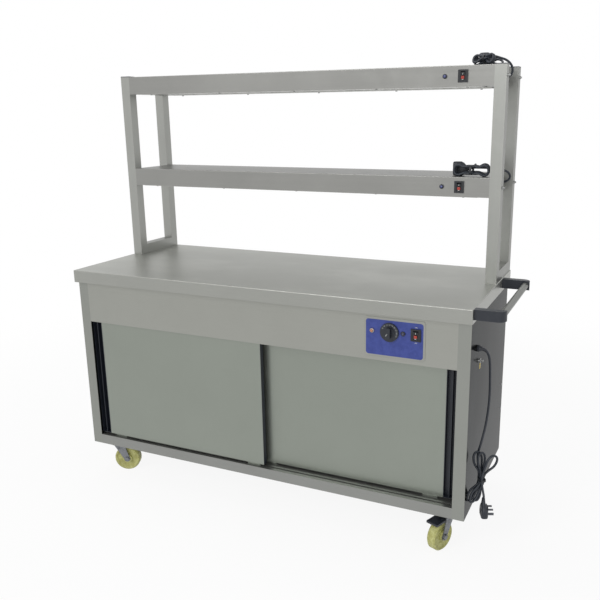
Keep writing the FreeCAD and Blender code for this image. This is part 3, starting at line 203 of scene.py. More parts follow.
def satin(name, colour, grain, rough=0.34, clouds=0.10, lines=0.5, painted_shade_mask=None):
    """Brushed steel whose scratches run along X, Y or Z, given as 0, 1 or 2. The last argument
    makes a mask from x, y and z: where it is 1, painted shade, dark and not metal, covers the
    steel."""
    steel = Finish(name)
    way = grain_along(grain)
    hair = steel.noise(1500, 2, way, 0.6)
    streak = steel.noise(170, 3, way, 0.55)
    cloud = steel.noise(3.2, 4, roughness=0.6)
    smear = steel.noise(17, 3, roughness=0.7).smooth(0.52, 0.74)
    shade = ((hair - 0.5) * (0.20 * lines) + (streak - 0.5) * (0.16 * lines)
             + (cloud - 0.5) * (2 * clouds))
    tint = steel.blend((shade + 0.5).smooth(0.0, 1.0), *shades(colour, 0.80, 1.17))
    metal = METAL
    # Painted shade: where the mask is 1, a dark colour without metal replaces the steel.
    if painted_shade_mask:
        shaded = painted_shade_mask(*steel.place_parts())
        tint = steel.blend(shaded, tint, linear(38, 42, 52))
        metal = (1 - shaded) * METAL
    return steel.surface(
        Base_Color=tint,
        Metallic=metal,
        Roughness=(streak - 0.5) * 0.12 + smear * 0.06 + (cloud - 0.5) * 0.10 + rough,
        Specular_Tint=(0.7, 0.7, 0.7),
        Normal=steel.bump(hair + streak * 0.3, 0.05, 0.0002))


door_look = {"colour": linear(142, 147, 139), "grain": 2, "rough": 0.32, "clouds": 0.12,
             "lines": 0.3}
front_steel = satin("satin_steel_front", linear(155, 156, 150), 0, rough=0.38)
shelf_steel = satin("satin_steel_shelf", linear(144, 144, 141), 0, clouds=0.22)
rail_steel = satin("satin_steel_rail", linear(142, 143, 140), 0, clouds=0.2)
tube_steel = satin("satin_steel_tube", linear(128, 130, 126), 1, rough=0.3)
door_steel = satin("satin_steel_doors", **door_look)
# The left door's side return gets painted shade.
shaded_left_door_steel = satin("satin_steel_left_door_painted_shade", **door_look,
                        painted_shade_mask=lambda x, y, z: x.smooth(*DOOR_SHADE_EDGE))
inner_steel = satin("satin_steel_inside", linear(112, 114, 112), 0, rough=0.45)
post_steel = satin("satin_steel_posts", linear(157, 158, 154), 2, clouds=0.14, lines=0.3)
back_steel = satin("satin_steel_back", linear(118, 120, 117), 2, rough=0.3)
print("steel finishes:", [m.name for m in bpy.data.materials if m.name.startswith("satin")])

# %% [markdown]
# ## Panels that turn a corner
#
# A side panel is one folded sheet: its front stile faces the room, and its broad side
# mirrors a darker one. Its finish reads where it is: it stays pale on the stile, and
# goes darker and more mirror-like behind the fold, with painted shade in its colour and
# the soft painted reflection blotches that a mirror-like sheet shows. The worktop is one
# folded sheet too. Its flat top has painted light: it is a little paler, and duller,
# than its turned-down edges.

# %% Corner-turning steel
STILE_FOLD = (-0.2814, -0.2806)  # y between a side panel's stile and its broad side
TOP_FOLD = (0.8292, 0.8299)  # z between the worktop's edges and its flat top


def turning_steel(name, pale, painted_colour_behind_fold, behind_fold, grain, polish, depth, edge):
    """Steel with one colour before a fold and another, smoother by polish, behind it: painted
    light and shade on one steel. behind_fold makes that mask from x, y and z. depth is how
    strongly painted reflection blotches mark the side behind the fold, and edge how bright
    the steel stays where it is seen at a flat angle."""
    steel = Finish(name)
    hair = steel.noise(1500, 2, grain_along(grain), 0.6)
    cloud = steel.noise(5.5, 4, (1, 1, 0.5), 0.6)
    wisp = steel.noise(2.1, 3, (1, 1.6, 0.7), 0.6).smooth(0.35, 0.7)
    folded = behind_fold(*steel.place_parts())
    mottle = (hair - 0.5) * 0.10 + (cloud - 0.5) * 0.22 + 0.5
    light = steel.blend(mottle.smooth(0, 1), *shades(pale, 0.84, 1.14))
    # Behind the fold: painted shade on a side panel, painted light on the worktop, with painted
    # reflection blotches.
    painted_tone_behind = steel.blend((mottle * 0.35 + wisp * 0.65).smooth(0.1, 0.9),
                       *shades(painted_colour_behind_fold, 1 - depth, 1 + depth))
    return steel.surface(
        Base_Color=steel.blend(folded, light, painted_tone_behind),
        Metallic=folded * 0.14 + METAL,
        Roughness=(cloud - 0.5) * 0.10 + 0.36 - folded * polish,
        Specular_Tint=(edge, edge, edge),
        Normal=steel.bump(hair, 0.04, 0.0002))


# The side panel's broad side gets painted shade and painted reflection blotches.
shaded_side_steel = turning_steel(
    "side_panel_steel_painted_shade", linear(144, 146, 141), linear(80, 82, 83),
    lambda x, y, z: y.smooth(*STILE_FOLD), grain=2, polish=0.20, depth=0.26, edge=0.4)
# The worktop's flat top gets painted light: a paler colour than its turned-down edges.
lit_top_steel = turning_steel(
    "worktop_steel_painted_light", linear(155, 156, 151), linear(163, 164, 159),
    lambda x, y, z: z.smooth(*TOP_FOLD), grain=0, polish=-0.06, depth=0.08, edge=1.0)
print("turning finishes:", shaded_side_steel.name, lit_top_steel.name)

# %% [markdown]
# ## Zinc, aluminium and heat-dark metal
#
# The casters are zinc-plated pressings: bluish, mottled by small crystals and a little
# dirty in the corners. The lamp reflectors are plain aluminised sheet, and the heating
# element is a sheathed rod that has gone brown and blue with heat.

# %% Other metals
GRIME = (0.045, 0.044, 0.042)


def plated(name, colour, rough, crystal=260, dirt=0.5):
    """Mottled metal. A higher crystal makes a finer mottle, and dirt is the share of grime."""
    metal = Finish(name)
    grains = metal.node("ShaderNodeTexVoronoi", {"feature": "F1"}, {
        "Vector": metal.place(), "Scale": crystal}, out="Distance")
    grime = metal.noise(45, 4, roughness=0.65).smooth(0.45, 0.75)
    tone = metal.blend(grains.smooth(0.1, 0.8), *shades(colour, 0.8, 1.0))
    return metal.surface(
        Base_Color=metal.blend(grime * dirt, tone, GRIME),
        Metallic=0.85, Roughness=grime * 0.28 + rough,
        Normal=metal.bump(grains + grime, 0.15, 0.0004))


zinc = plated("zinc_plate", linear(128, 130, 134), 0.38)
nut_zinc = plated("bright_zinc_nuts", linear(170, 171, 170), 0.30, 500, 0.2)
reflector = plated("aluminised_sheet", linear(178, 178, 174), 0.34, 60, 0.12)
sheath = plated("heated_rod_sheath", linear(104, 92, 84), 0.45, 160, 0.4)
pin_metal = plated("tinned_pins", linear(96, 98, 104), 0.30, 380, 0.12)
print("metals:", zinc.name, nut_zinc.name, reflector.name, sheath.name, pin_metal.name)

# %% [markdown]
# ## Plastics and rubber
#
# The pulls, switch frames, dial and glands are black mouldings with a fine spark-eroded
# texture. The cord sheath is softer and greyer. The caster treads are ochre polyurethane
# that has picked up floor dust. Each is one function with a few numbers.

# %% Plastic finishes


def moulded(name, colour, rough=0.42, pebble=1400, depth=0.2, dust=0.25):
    """Textured plastic. A higher pebble makes a finer grain, and depth is the grain's bump."""
    plastic = Finish(name)
    grain = plastic.noise(pebble, 2, roughness=0.6)
    scuff = plastic.noise(60, 4, roughness=0.7).smooth(0.55, 0.8)
    lifted = tuple(0.75 * part + 0.06 for part in colour)
    return plastic.surface(
        Base_Color=plastic.blend(scuff * dust, colour, lifted),
        Roughness=scuff * 0.2 + (grain - 0.5) * 0.08 + rough,
        Normal=plastic.bump(grain, depth, 0.0002))


black_plastic = moulded("black_moulding", linear(34, 38, 46))
switch_plastic = moulded("black_switch", linear(29, 31, 36), 0.34, 2200, 0.12)
cap_plastic = moulded("grey_post_caps", linear(92, 92, 96), 0.5)
cord_rubber = moulded("cord_sheath", linear(38, 43, 51), 0.5, 2600, 0.25, 0.4)
tie_plastic = moulded("tie_band", linear(38, 40, 44), 0.45, 1200, 0.2)
quartz = moulded("frosted_quartz", linear(214, 208, 198), 0.22, 700, 0.08, 0.1)
pale_mark = moulded("pale_print", linear(205, 206, 202), 0.5, 900, 0.05, 0.1)
dim_mark = moulded("dim_print", linear(142, 144, 143), 0.5, 900, 0.05, 0.1)
sticker = moulded("yellow_sticker", linear(206, 178, 44), 0.4, 700, 0.06, 0.2)
print("plastics:", black_plastic.name, cord_rubber.name)

# %% The caster tread


def tread_finish():
    rubber = Finish("ochre_polyurethane")
    mottle = rubber.noise(70, 4, roughness=0.6)
    dust = rubber.noise(24, 5, roughness=0.7).smooth(0.5, 0.75)
    colour = rubber.blend(mottle.smooth(0.35, 0.65), linear(160, 158, 92), linear(184, 184, 122))
    return rubber.surface(
        Base_Color=rubber.blend(dust * 0.5, colour, linear(128, 122, 84)),
        Roughness=dust * 0.2 + 0.46, Normal=rubber.bump(mottle + dust, 0.2, 0.0006))


tread = tread_finish()
print("tread:", tread.name)

# %% [markdown]
# ## Finishes that change with the place
#
# The control plate is steel with a blue field printed inside its rounded border. The
# four pilot lamps are one CAD node with several colours. Both are solved by reading the
# point's place: a rounded rectangle is a distance, and each lamp sits on its own side
# of a line across X or Z.

# %% The printed control plate


def control_plate_finish(box):
    """Steel with a blue rounded field that leaves a border inside the plate's box."""
    plate = Finish("printed_control_plate")
    low, high = box
    x, y, z = plate.place_parts()
    corner, border_x, border_z, soft = 0.009, 0.0065, 0.0075, 0.0005
    reach_x = (high.x - low.x) / 2 - border_x - corner
    reach_z = (high.z - low.z) / 2 - border_z - corner
    out_x = (abs(x - (low.x + high.x) / 2) - reach_x).maths("MAXIMUM", 0.0)
    out_z = (abs(z - (low.z + high.z) / 2) - reach_z).maths("MAXIMUM", 0.0)
    away = (out_x * out_x + out_z * out_z) ** 0.5
    field = away.smooth(corner + soft, corner - soft)
    ink = plate.noise(55, 4, roughness=0.6)
    hair = plate.noise(900, 2, grain_along(0), 0.6)
    blue = plate.blend(ink.smooth(0.3, 0.7), linear(46, 60, 128), linear(56, 70, 140))
    steel = plate.blend(hair, linear(140, 141, 136), linear(160, 161, 155))
    return plate.surface(
        Base_Color=plate.blend(field, steel, blue),
        Metallic=(1 - field) * 0.8, Roughness=(ink - 0.5) * 0.1 + field * 0.06 + 0.34,
        Normal=plate.bump(hair * (1 - field) + field * 0.8, 0.12, 0.0004))


blue_plate = control_plate_finish(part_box("control_plate"))
print("control plate:", blue_plate.name)

# %% The four pilot lenses
GANTRY_Z = 1.0  # the two gantry lamps are above this height
BETWEEN_LAMPS_X = 0.437  # the plate's heat lamp is left of this, and its power lamp right


def lens_finish():
    lens = Finish("pilot_lenses")
    x, y, z = lens.place_parts()
    sparkle = lens.noise(800, 2)
    heat = lens.blend(sparkle, linear(206, 118, 58), linear(226, 150, 92))
    panel = lens.blend(x > BETWEEN_LAMPS_X, heat, linear(42, 44, 74))
    return lens.surface(Base_Color=lens.blend(z > GANTRY_Z, panel, linear(58, 64, 112)),
                        Roughness=(sparkle - 0.5) * 0.1 + 0.22, Coat_Weight=0.4)


lenses = lens_finish()
print("lenses:", lenses.name)

# %% [markdown]
# ## Dress the CAD nodes
#
# A CAD node whose shape is right only needs its material. A name in the table comes
# first, then a name with a common start or ending. All the others are black mouldings.

# %% Give every node its finish
finish_of = {name: finish for names, finish in (
    ("worktop", lit_top_steel), ("upper_shelf lower_shelf", shelf_steel), ("fascia", front_steel),
    ("door_rail", rail_steel), ("left_door", shaded_left_door_steel), ("right_door", door_steel),
    ("side_panel_left side_panel_right", shaded_side_steel), ("back_panel", back_steel),
    ("top_track cabinet_floor cupboard_shelf heater_cover worktop_ribs", inner_steel),
    ("foot_rails", post_steel), ("handle_tube", tube_steel), ("post_caps", cap_plastic),
    ("lamp_plates", reflector), ("heat_lamps", quartz), ("heating_rod", sheath),
    ("control_plate", blue_plate), ("pilot_lamps", lenses),
    ("shelf_bolts plate_screws earth_stud", nut_zinc), ("caster_plates", zinc),
    ("switch_frames", switch_plastic)) for name in names.split()}
finish_by_ending = {"_wheel": tread, "_fork": zinc, "_rocker": switch_plastic}


def finish_for(name):
    if name in finish_of:
        return finish_of[name]
    if name.startswith("post_"):
        return post_steel
    return next((finish for ending, finish in finish_by_ending.items()
                 if name.endswith(ending)), black_plastic)


for name, node in nodes.items():
    node.data.materials.clear()
    node.data.materials.append(finish_for(name))
print("dressed", len(nodes), "nodes")

# %% [markdown]
# ## Small tools for mesh pieces
#
# Pieces are built with bmesh. `loft` skins rounded rectangles that are stacked along a
# line, and `slab` is the simplest one, a plate with rounded corners. `turned` makes lathe
# work from a profile. `finish_piece` turns the result into an object, gives it a material
# and a small bevel, and lets it ride on its body. `print_word` does so with a word.

# %% Shapes
FRONT = (0, -1, 0)


def facing(place, outward, up=(0, 0, 1)):
    """A matrix that puts local Z along outward and local Y along up."""
    z = Vector(outward).normalized()
    x = Vector(up).cross(z).normalized()
    return Matrix.Translation(place) @ Matrix((x, z.cross(x), z)).transposed().to_4x4()


def skin(made, rings, caps=True):
    """Faces between rings of vertices, and over both ends."""
    for low, high in zip(rings, rings[1:]):
        for here in range(len(low)):
            after = (here + 1) % len(low)
            corners = dict.fromkeys((low[here], low[after], high[after], high[here]))
            if len(corners) > 2:
                made.faces.new(list(corners))
    if caps:
        made.faces.new(rings[0][::-1])
        made.faces.new(rings[-1])


def turned(profile, matrix, steps=48):
    """Lathe work: (radius, height) pairs turned about local Z."""
    made = bmesh.new()
    turns = [math.tau * step / steps for step in range(steps)]
    rings = []
    for radius, height in profile:
        if radius == 0:
            rings.append([made.verts.new((0, 0, height))] * steps)
        else:
            rings.append([made.verts.new((radius * math.cos(turn), radius * math.sin(turn),
                                          height)) for turn in turns])
    skin(made, rings, caps=False)
    made.transform(matrix)
    return made


def loft(sections, matrix, steps=5):
    """Skins rounded rectangles (z, half x, half y, corner, shift x) along local Z."""
    made = bmesh.new()
    rings = []
    for z, half_x, half_y, corner, shift in sections:
        ring = []
        for number, (side, end) in enumerate(((1, 1), (-1, 1), (-1, -1), (1, -1))):
            for step in range(steps + 1):
                angle = math.radians(90 * number + 90 * step / steps)
                ring.append(made.verts.new((
                    shift + side * (half_x - corner) + corner * math.cos(angle),
                    end * (half_y - corner) + corner * math.sin(angle), z)))
        rings.append(ring)
    skin(made, rings)
    made.transform(matrix)
    return made


def slab(width, height, depth, corner, matrix):
    """A plate with rounded corners, standing on local Z = 0."""
    return loft([(z, width / 2, height / 2, corner, 0) for z in (0, depth)], matrix, 6)


def joined(*shapes):
    """Several bmeshes as one."""
    whole = bmesh.new()
    for shape in shapes:
        holder = bpy.data.meshes.new("part")
        shape.to_mesh(holder)
        shape.free()
        whole.from_mesh(holder)
        bpy.data.meshes.remove(holder)
    return whole


print("shapes ready")

# %% Pieces from shapes and words


def finish_piece(name, shape, material, body="trolley", bevel=0.0, smooth=35):
    mesh = bpy.data.meshes.new(name)
    bmesh.ops.recalc_face_normals(shape, faces=shape.faces)
    shape.to_mesh(mesh)
    shape.free()
    piece = added(name, mesh)
    mesh.materials.append(material)
    mesh.shade_smooth()
    if bevel:
        edge = piece.modifiers.new("soft_edges", "BEVEL")
        edge.width, edge.segments, edge.limit_method = bevel, 3, "ANGLE"
        edge.angle_limit = math.radians(32)
    mesh.set_sharp_from_angle(angle=math.radians(smooth))
    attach(piece, body)
    return piece


def print_word(name, word, size, thick, ink, matrix, body="trolley"):
    """A word as a thin text curve, centred on the matrix."""
    curve = bpy.data.curves.new(name, "FONT")
    curve.body, curve.size, curve.extrude = word, size, thick
    curve.align_x, curve.align_y = "CENTER", "CENTER"
    curve.materials.append(ink)
    text = added(name, curve)
    text.matrix_world = matrix
    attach(text, body)


print("piece tools ready")

# %% [markdown]
# ## Rocker switches
#
# Each switch is a black frame with a black rocker. A small red window in the rocker's
# lower half has a faint painted glow, with a pale mark under it and a pale bar above. The
# frame and the rocker are CAD solids; the window and the marks are thin plates that ride
# on the rocker, so they tip with it. The rocker's face is dished, so the plates stand a
# little proud.

# %% Red windows and marks
DISH = 0.0012  # depth of the dished face behind the rocker's foremost edge


def window_finish():
    window = Finish("red_window_painted_glow")
    ripple = window.noise(500, 2)
    return window.surface(
        Base_Color=window.blend(ripple, linear(138, 40, 30), linear(168, 58, 44)),
        Roughness=(ripple - 0.5) * 0.1 + 0.25,
        # Painted glow: a faint red emission.
        Emission_Color=window.blend(ripple, linear(150, 20, 12), linear(190, 40, 28)),
        Emission_Strength=0.06, Coat_Weight=0.2)


red_window_painted_glow = window_finish()
for switch in ("main", "upper", "lower"):
    rocker = f"{switch}_rocker"
    low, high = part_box(rocker)
    middle = (low.x + high.x) / 2
    window, mark, bar = (
        slab(width, height, depth, corner,
             facing((middle, low.y + DISH, low.z + (high.z - low.z) * share), FRONT))
        for width, height, depth, corner, share in (
            (0.0100, 0.0090, 0.0012, 0.0012, 0.36),
            (0.0055, 0.0014, 0.0008, 0.0005, 0.13),
            (0.0012, 0.0050, 0.0008, 0.0004, 0.80)))
    finish_piece(f"{rocker}_window", window, red_window_painted_glow, rocker, 0.0004)
    finish_piece(f"{rocker}_marks", joined(mark, bar), pale_mark, rocker)
    print(switch, "switch window at", short((middle, low.y, low.z)))

# %% [markdown]
# ## The dial
#
# A thermostat dial: a skirt with plain numbers round its upper rim, and a bar grip with
# a pale patch at its lower left. The CAD node gives skirt and grip. Numbers are text
# curves, laid on the skirt one by one so that each stands square to the rim.

# %% Numbers and pale patch
NUMBER_RING = 0.0245  # radius on which the numbers stand
dial_low, dial_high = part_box("dial")
dial_centre = Vector(((dial_low.x + dial_high.x) / 2, dial_low.y,
                      (dial_low.z + dial_high.z) / 2))
skirt_face = dial_high.y - 0.005
for number, angle in zip(range(30, 120, 10), range(60, -109, -21)):
    turn = math.radians(angle)
    out = Vector((-math.sin(turn), 0, math.cos(turn)))
    place = Vector((dial_centre.x, skirt_face - 0.0003, dial_centre.z)) + out * NUMBER_RING
    print_word(f"dial_number_{number}", str(number), 0.0062, 0.0001, dim_mark,
               facing(place, FRONT, out), "dial")
# A pale patch on the grip's lower left.
pale_patch = slab(0.0026, 0.009, 0.0007, 0.0010, facing(
    dial_centre + Vector((-0.0040, 0.0001, -0.0045)), FRONT, (-0.6, 0, -0.8)))
finish_piece("dial_pale_patch", pale_patch, dim_mark, "dial")
skirt_rim = turned([(0.0292, 0.0), (0.0302, 0.0006), (0.0302, 0.0036), (0.0290, 0.0046),
                    (0.0284, 0.0044), (0.0284, 0.0)],
                   facing((dial_centre.x, dial_high.y, dial_centre.z), FRONT), 96)
finish_piece("dial_rim", skirt_rim, switch_plastic, "dial")
print("dial centre", short(dial_centre, 4))

# %% [markdown]
# ## Marks beside the cabinet's switch
#
# The plate has plain ON and OFF marks, printed above and below the switch.

# %% ON and OFF
plate_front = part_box("control_plate")[0].y
switch_low, switch_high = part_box("main_rocker")
for word, z in (("ON", switch_high.z + 0.0118), ("OFF", switch_low.z - 0.0120)):
    place = ((switch_low.x + switch_high.x) / 2, plate_front - 0.0001, z)
    print_word(f"plate_mark_{word.lower()}", word, 0.0048, 0.00008, pale_mark,
               facing(place, FRONT))
print("plate marks: ON, OFF")

# %% [markdown]
# ## Pilot lamp domes
#
# A pilot lamp is a domed lens in a thin collar. The CAD lens is a flat disc, so a turned
# dome and a collar sit on each. The heat lamp's collar is bright metal, the others are
# black.

# %% Domes and collars
DOME_STAND, COLLAR_STAND = 0.0049, 0.0019  # how far they stand before the sheet


def lamp_colour(name, dark, light):
    """Coloured glass for a dome."""
    glass = Finish(name)
    depth = glass.noise(300, 3)
    return glass.surface(Base_Color=glass.blend(depth, dark, light),
                         Roughness=(depth - 0.5) * 0.08 + 0.16, Coat_Weight=0.5)


amber = lamp_colour("amber_lens", linear(140, 78, 44), linear(196, 132, 92))
dark_lens = lamp_colour("dark_lens", linear(34, 36, 58), linear(52, 56, 92))
blue_lens = lamp_colour("blue_lens", linear(50, 56, 100), linear(74, 82, 132))
gantry_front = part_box("upper_shelf")[0].y
pilot_places = {"heat_pilot": (0.386, plate_front, 0.7285, amber, nut_zinc),
                "power_pilot": (0.488, plate_front, 0.7285, dark_lens, switch_plastic),
                "upper_pilot": (0.505, gantry_front, 1.4975, blue_lens, switch_plastic),
                "lower_pilot": (0.505, gantry_front, 1.1475, blue_lens, switch_plastic)}
for name, (x, y, z, glass, collar_finish) in pilot_places.items():
    dome = turned([(0.0049, 0.0), (0.0047, 0.0010), (0.0038, 0.0020), (0.0022, 0.0027),
                   (0.0, 0.0029)], facing((x, y - DOME_STAND, z), FRONT), 32)
    finish_piece(name + "_dome", dome, glass, smooth=60)
    collar = turned([(0.0072, 0.0), (0.0074, 0.0012), (0.0066, 0.0024), (0.0052, 0.0030),
                     (0.0050, 0.0)], facing((x, y - COLLAR_STAND, z), FRONT), 40)
    finish_piece(name + "_collar", collar, collar_finish)
print("pilot lamps:", list(pilot_places))

# %% [markdown]
# ## Small things on the right-hand panel
#
# A blank yellow sticker hangs below the earth stud, and two small screws hold the panel
# near its rear edge. Each screw has a domed head with a round recess.

# %% Sticker and panel screws
panel_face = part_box("side_panel_right")[1].x
label = slab(0.013, 0.019, 0.0004, 0.0006, facing((panel_face, -0.144, 0.608), (1, 0, 0)))
finish_piece("blank_sticker", label, sticker)
for number, (y, z) in enumerate(((0.258, 0.400), (0.260, 0.304)), 1):
    head = turned([(0.0042, 0.0), (0.0041, 0.0009), (0.0032, 0.0019), (0.0016, 0.0024),
                   (0.0015, 0.0015), (0.0, 0.0014)],
                  facing((panel_face, y, z), (1, 0, 0)), 28)
    finish_piece(f"panel_screw_{number}", head, nut_zinc)
print("panel face at", round(panel_face, 4))

# %% [markdown]
# ## Cords as one spline each
#
# A mains cord is one fixed length of something flexible. Its centre line is a smooth
# NURBS spline whose control points are the given points of its route, then the
# turns of its hank, then its plug. The turns are laid level by level, a little more than
# a diameter apart, and each one climbs to the next level over its head, so the cord
# never meets itself.

# %% Route and spline
MM = 0.001
CORD = 0.0075  # diameter
UP, RIGHT, BACK = Vector((0, 0, 1)), Vector((1, 0, 0)), Vector((0, 1, 0))


def at(x, y, z):
    """A point that is given in millimetres."""
    return Vector((x, y, z)) * MM


def cord_curve(name, points):
    """One open spline with a round section, through control points in metres."""
    curve = bpy.data.curves.new(name, "CURVE")
    curve.dimensions = "3D"
    curve.bevel_depth, curve.bevel_resolution = CORD / 2, 5
    curve.resolution_u = 6
    spline = curve.splines.new("NURBS")
    spline.points.add(len(points) - 1)
    for point, place in zip(spline.points, points):
        point.co = (*place, 1)
    spline.order_u = 3
    spline.use_endpoint_u = True
    curve.use_fill_caps = True
    curve.materials.append(cord_rubber)
    return added(name, curve)


def line_of(points):
    """The centre line that Blender draws for a spline, as points in metres."""
    bare = cord_curve("line_probe", points)
    bare.data.bevel_depth = 0
    mesh = bpy.data.meshes.new_from_object(bare)
    line = [vertex.co.copy() for vertex in mesh.vertices]
    bpy.data.objects.remove(bare)
    bpy.data.meshes.remove(mesh)
    return line


def length_of(line):
    return sum((b - a).length for a, b in zip(line, line[1:]))


def route(start, steps):
    """A start and the steps away from it, in millimetres, as points in metres."""
    return [at(*start)] + [(Vector(start) + Vector(step)) * MM for step in steps]


print("route tools ready")

# %% The turns of a hank
HALF_LOBE = ((0.55, 0.34), (0.88, 0.55), (1.0, 0.74), (0.80, 0.93), (0.34, 1.03))
LOBE = HALF_LOBE + tuple((-side, out) for side, out in reversed(HALF_LOBE))


def hank_turns(centre, along, across, level, heads, tails, columns=(0.0045,),
               waist=0.014):
    """Control points of the turns. A lobe is (lean, swing, reach, half width), in degrees
    and mm: lean tips it in the hank's own plane, and swing turns it out of that plane.
    With as many heads as tails the last strand leaves at the tail end, else at the head
    end. LOBE has a lobe's points, as shares of its half width and its reach."""
    stack = along.cross(across)
    last = len(heads)
    points = []

    def spot(side, reach, height, swing=0.0):
        aside = across * math.cos(swing) + stack * math.sin(swing)
        return centre + aside * side + along * reach + stack * ((height - last / 2) * level)

    def strand(side, height, ways):
        points.extend(spot(side, waist * way, height) for way in ways)

    def lobe(sign, shape, height, climb):
        lean, swing = map(math.radians, shape[:2])
        reach, half = (number * MM for number in shape[2:])
        for number, (side, out) in enumerate(LOBE):
            u = -sign * side * half
            v = waist * 0.5 + out * (reach - waist * 0.5)
            turn = lean * min(1.0, out * 2.2)
            rise = climb * min(1.0, max(0.0, (number - 2) / 5))
            points.append(spot(u * math.cos(turn) + v * math.sin(turn),
                               sign * (v * math.cos(turn) - u * math.sin(turn)),
                               height + rise, swing * min(1.0, out * 1.2)))

    for number, tail in enumerate(tails):
        column = columns[number % len(columns)]
        strand(column, number, (1, 0, -1))
        lobe(-1, tail, number, 0)
        strand(-column, number, (-1, 0, 1))
        if number < len(heads):
            lobe(1, heads[number], number, 1)
    if len(heads) == len(tails):
        strand(column, last, (1, 0, -1))
    return points


print("a lobe has", len(LOBE), "control points")

# %% [markdown]
# ## Three-pin plugs, cord boots and ties
#
# The plug is a moulded body that tapers to the cord, with a ribbed grip, a face plate and
# three flat pins. Its body is a loft along the cord's direction. The cord's boot is a
# tapered, ribbed sleeve that follows the first centimetres of the cord out of its gland.
# The tie is a flat band round the waist of a hank.

# %% Plug
QUARTER_TURN = Matrix.Rotation(math.radians(90), 4, "Y")  # from local Z to the pins' way
PLUG_BODY = [(-0.0500, 0.0095, 0.0205, 0.0060, 0.0170), (-0.0485, 0.0108, 0.0222, 0.0070, 0.0168),
             (-0.0400, 0.0112, 0.0229, 0.0070, 0.0167), (-0.0240, 0.0110, 0.0229, 0.0070, 0.0169),
             (-0.0150, 0.0098, 0.0190, 0.0070, 0.0165), (-0.0085, 0.0080, 0.0130, 0.0065, 0.0152),
             (-0.0030, 0.0064, 0.0084, 0.0050, 0.0143)]
# y, z, width, height and length of the two short pins and of the long one
PLUG_PINS = ((-0.0111, -0.0210, 0.0063, 0.0040, 0.0177),
             (0.0111, -0.0210, 0.0063, 0.0040, 0.0177),
             (0.0, -0.0432, 0.0040, 0.0078, 0.0227))


def plug_piece(name, node, place, neck):
    """place maps the plug's own frame: X is the way of the pins, Z the way of the cord.
    neck is how far the body reaches up the cord."""
    shell = loft(PLUG_BODY + [(neck * 0.5, 0.0054, 0.0058, 0.004, 0.0140),
                              (neck, 0.0048, 0.0048, 0.0038, 0.0140)], place)
    grips = [slab(0.0016, 0.017, 0.0010, 0.0005,
                  place @ Matrix.Translation((0.0058, 0.0, -0.026 - 0.0042 * number))
                  @ QUARTER_TURN.inverted())
             for number in range(5)]
    face_plate = slab(0.036, 0.034, 0.0010, 0.004,
                      place @ Matrix.Translation((0.0272, 0.0, -0.031)) @ QUARTER_TURN)
    whole = finish_piece(name, joined(shell, *grips, face_plate), black_plastic,
                         bevel=0.0006, smooth=40)
    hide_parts(node)
    blades = [slab(height, width, reach, 0.0007,
                   place @ Matrix.Translation((0.0265, y, z)) @ QUARTER_TURN)
              for y, z, width, height, reach in PLUG_PINS]
    pins = finish_piece(name + "_pins", joined(*blades), pin_metal, bevel=0.0003)
    pins.parent = whole
    pins.matrix_parent_inverse = whole.matrix_world.inverted()
    return whole, pins


print("plug body has", len(PLUG_BODY) + 2, "sections")

# %% Boot and tie


def sleeve(name, line, length, thick, thin, ribs=4, steps=20):
    """A ribbed boot that follows the first length of a cord."""
    made, rings, gone = bmesh.new(), [], 0.0
    for a, b in zip(line, line[1:]):
        if gone <= length:
            ahead = (b - a).normalized()
            share = gone / length
            wave = 1 + 0.10 * math.cos(math.tau * ribs * share)
            radius = (thick + (thin - thick) * share) * wave
            side = ahead.cross(Vector((0.1, 0.2, 1))).normalized()
            up = side.cross(ahead)
            rings.append([made.verts.new(a + (side * math.cos(math.tau * step / steps)
                                              + up * math.sin(math.tau * step / steps))
                                         * radius) for step in range(steps)])
        gone += (b - a).length
    skin(made, rings)
    return finish_piece(name, made, black_plastic, smooth=60)


def tie(name, centre, along, across, wide, painted_colour_behind_fold, steps=40):
    """A flat band drawn round the waist of a hank."""
    stack = along.cross(across)
    made, rings = bmesh.new(), []
    for height, grow in ((-0.0032, 0.0), (-0.0026, 0.0009), (0.0026, 0.0009), (0.0032, 0.0)):
        ring = []
        for step in range(steps):
            c, s = (way(math.tau * step / steps) for way in (math.cos, math.sin))
            squared = (abs(c) ** 3 + abs(s) ** 3) ** (-1 / 3)
            ring.append(made.verts.new(centre + along * height
                                       + across * (c * squared * (wide + grow))
                                       + stack * (s * squared * (painted_colour_behind_fold + grow))))
        rings.append(ring)
    skin(made, rings, caps=False)
    band = finish_piece(name, made, tie_plastic, smooth=50)
    thickness = band.modifiers.new("thickness", "SOLIDIFY")
    thickness.thickness, thickness.offset = 0.0009, 1
    return band


print("boot and tie ready")

# %% A whole cord


def make_cord(name, points, plug_place, neck, boot, band):
    """A cord along these points, with its plug, its boot and the tie of its hank."""
    line = line_of(points)
    piece = cord_curve(f"{name}_cord_piece", points)
    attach(piece, "trolley")
    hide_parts(f"{name}_cord", f"{name}_hank")
    plug, pins = plug_piece(f"{name}_plug_piece", f"{name}_plug", plug_place, neck)
    boot_piece = sleeve(f"{name}_cord_boot", line, *boot)
    tie_piece = tie(f"{name}_hank_tie", *band)
    print(name, "cord length:", round(length_of(line), 3))


print("cord tools ready")

# %% [markdown]
# ## The cabinet's cord
#
# It leaves its gland beside the cabinet, falls in a slack curve and gathers in a hank
# that hangs by the side panel. The hank splays: its heads lean to both sides, and the
# plug hangs under it on the last strand.

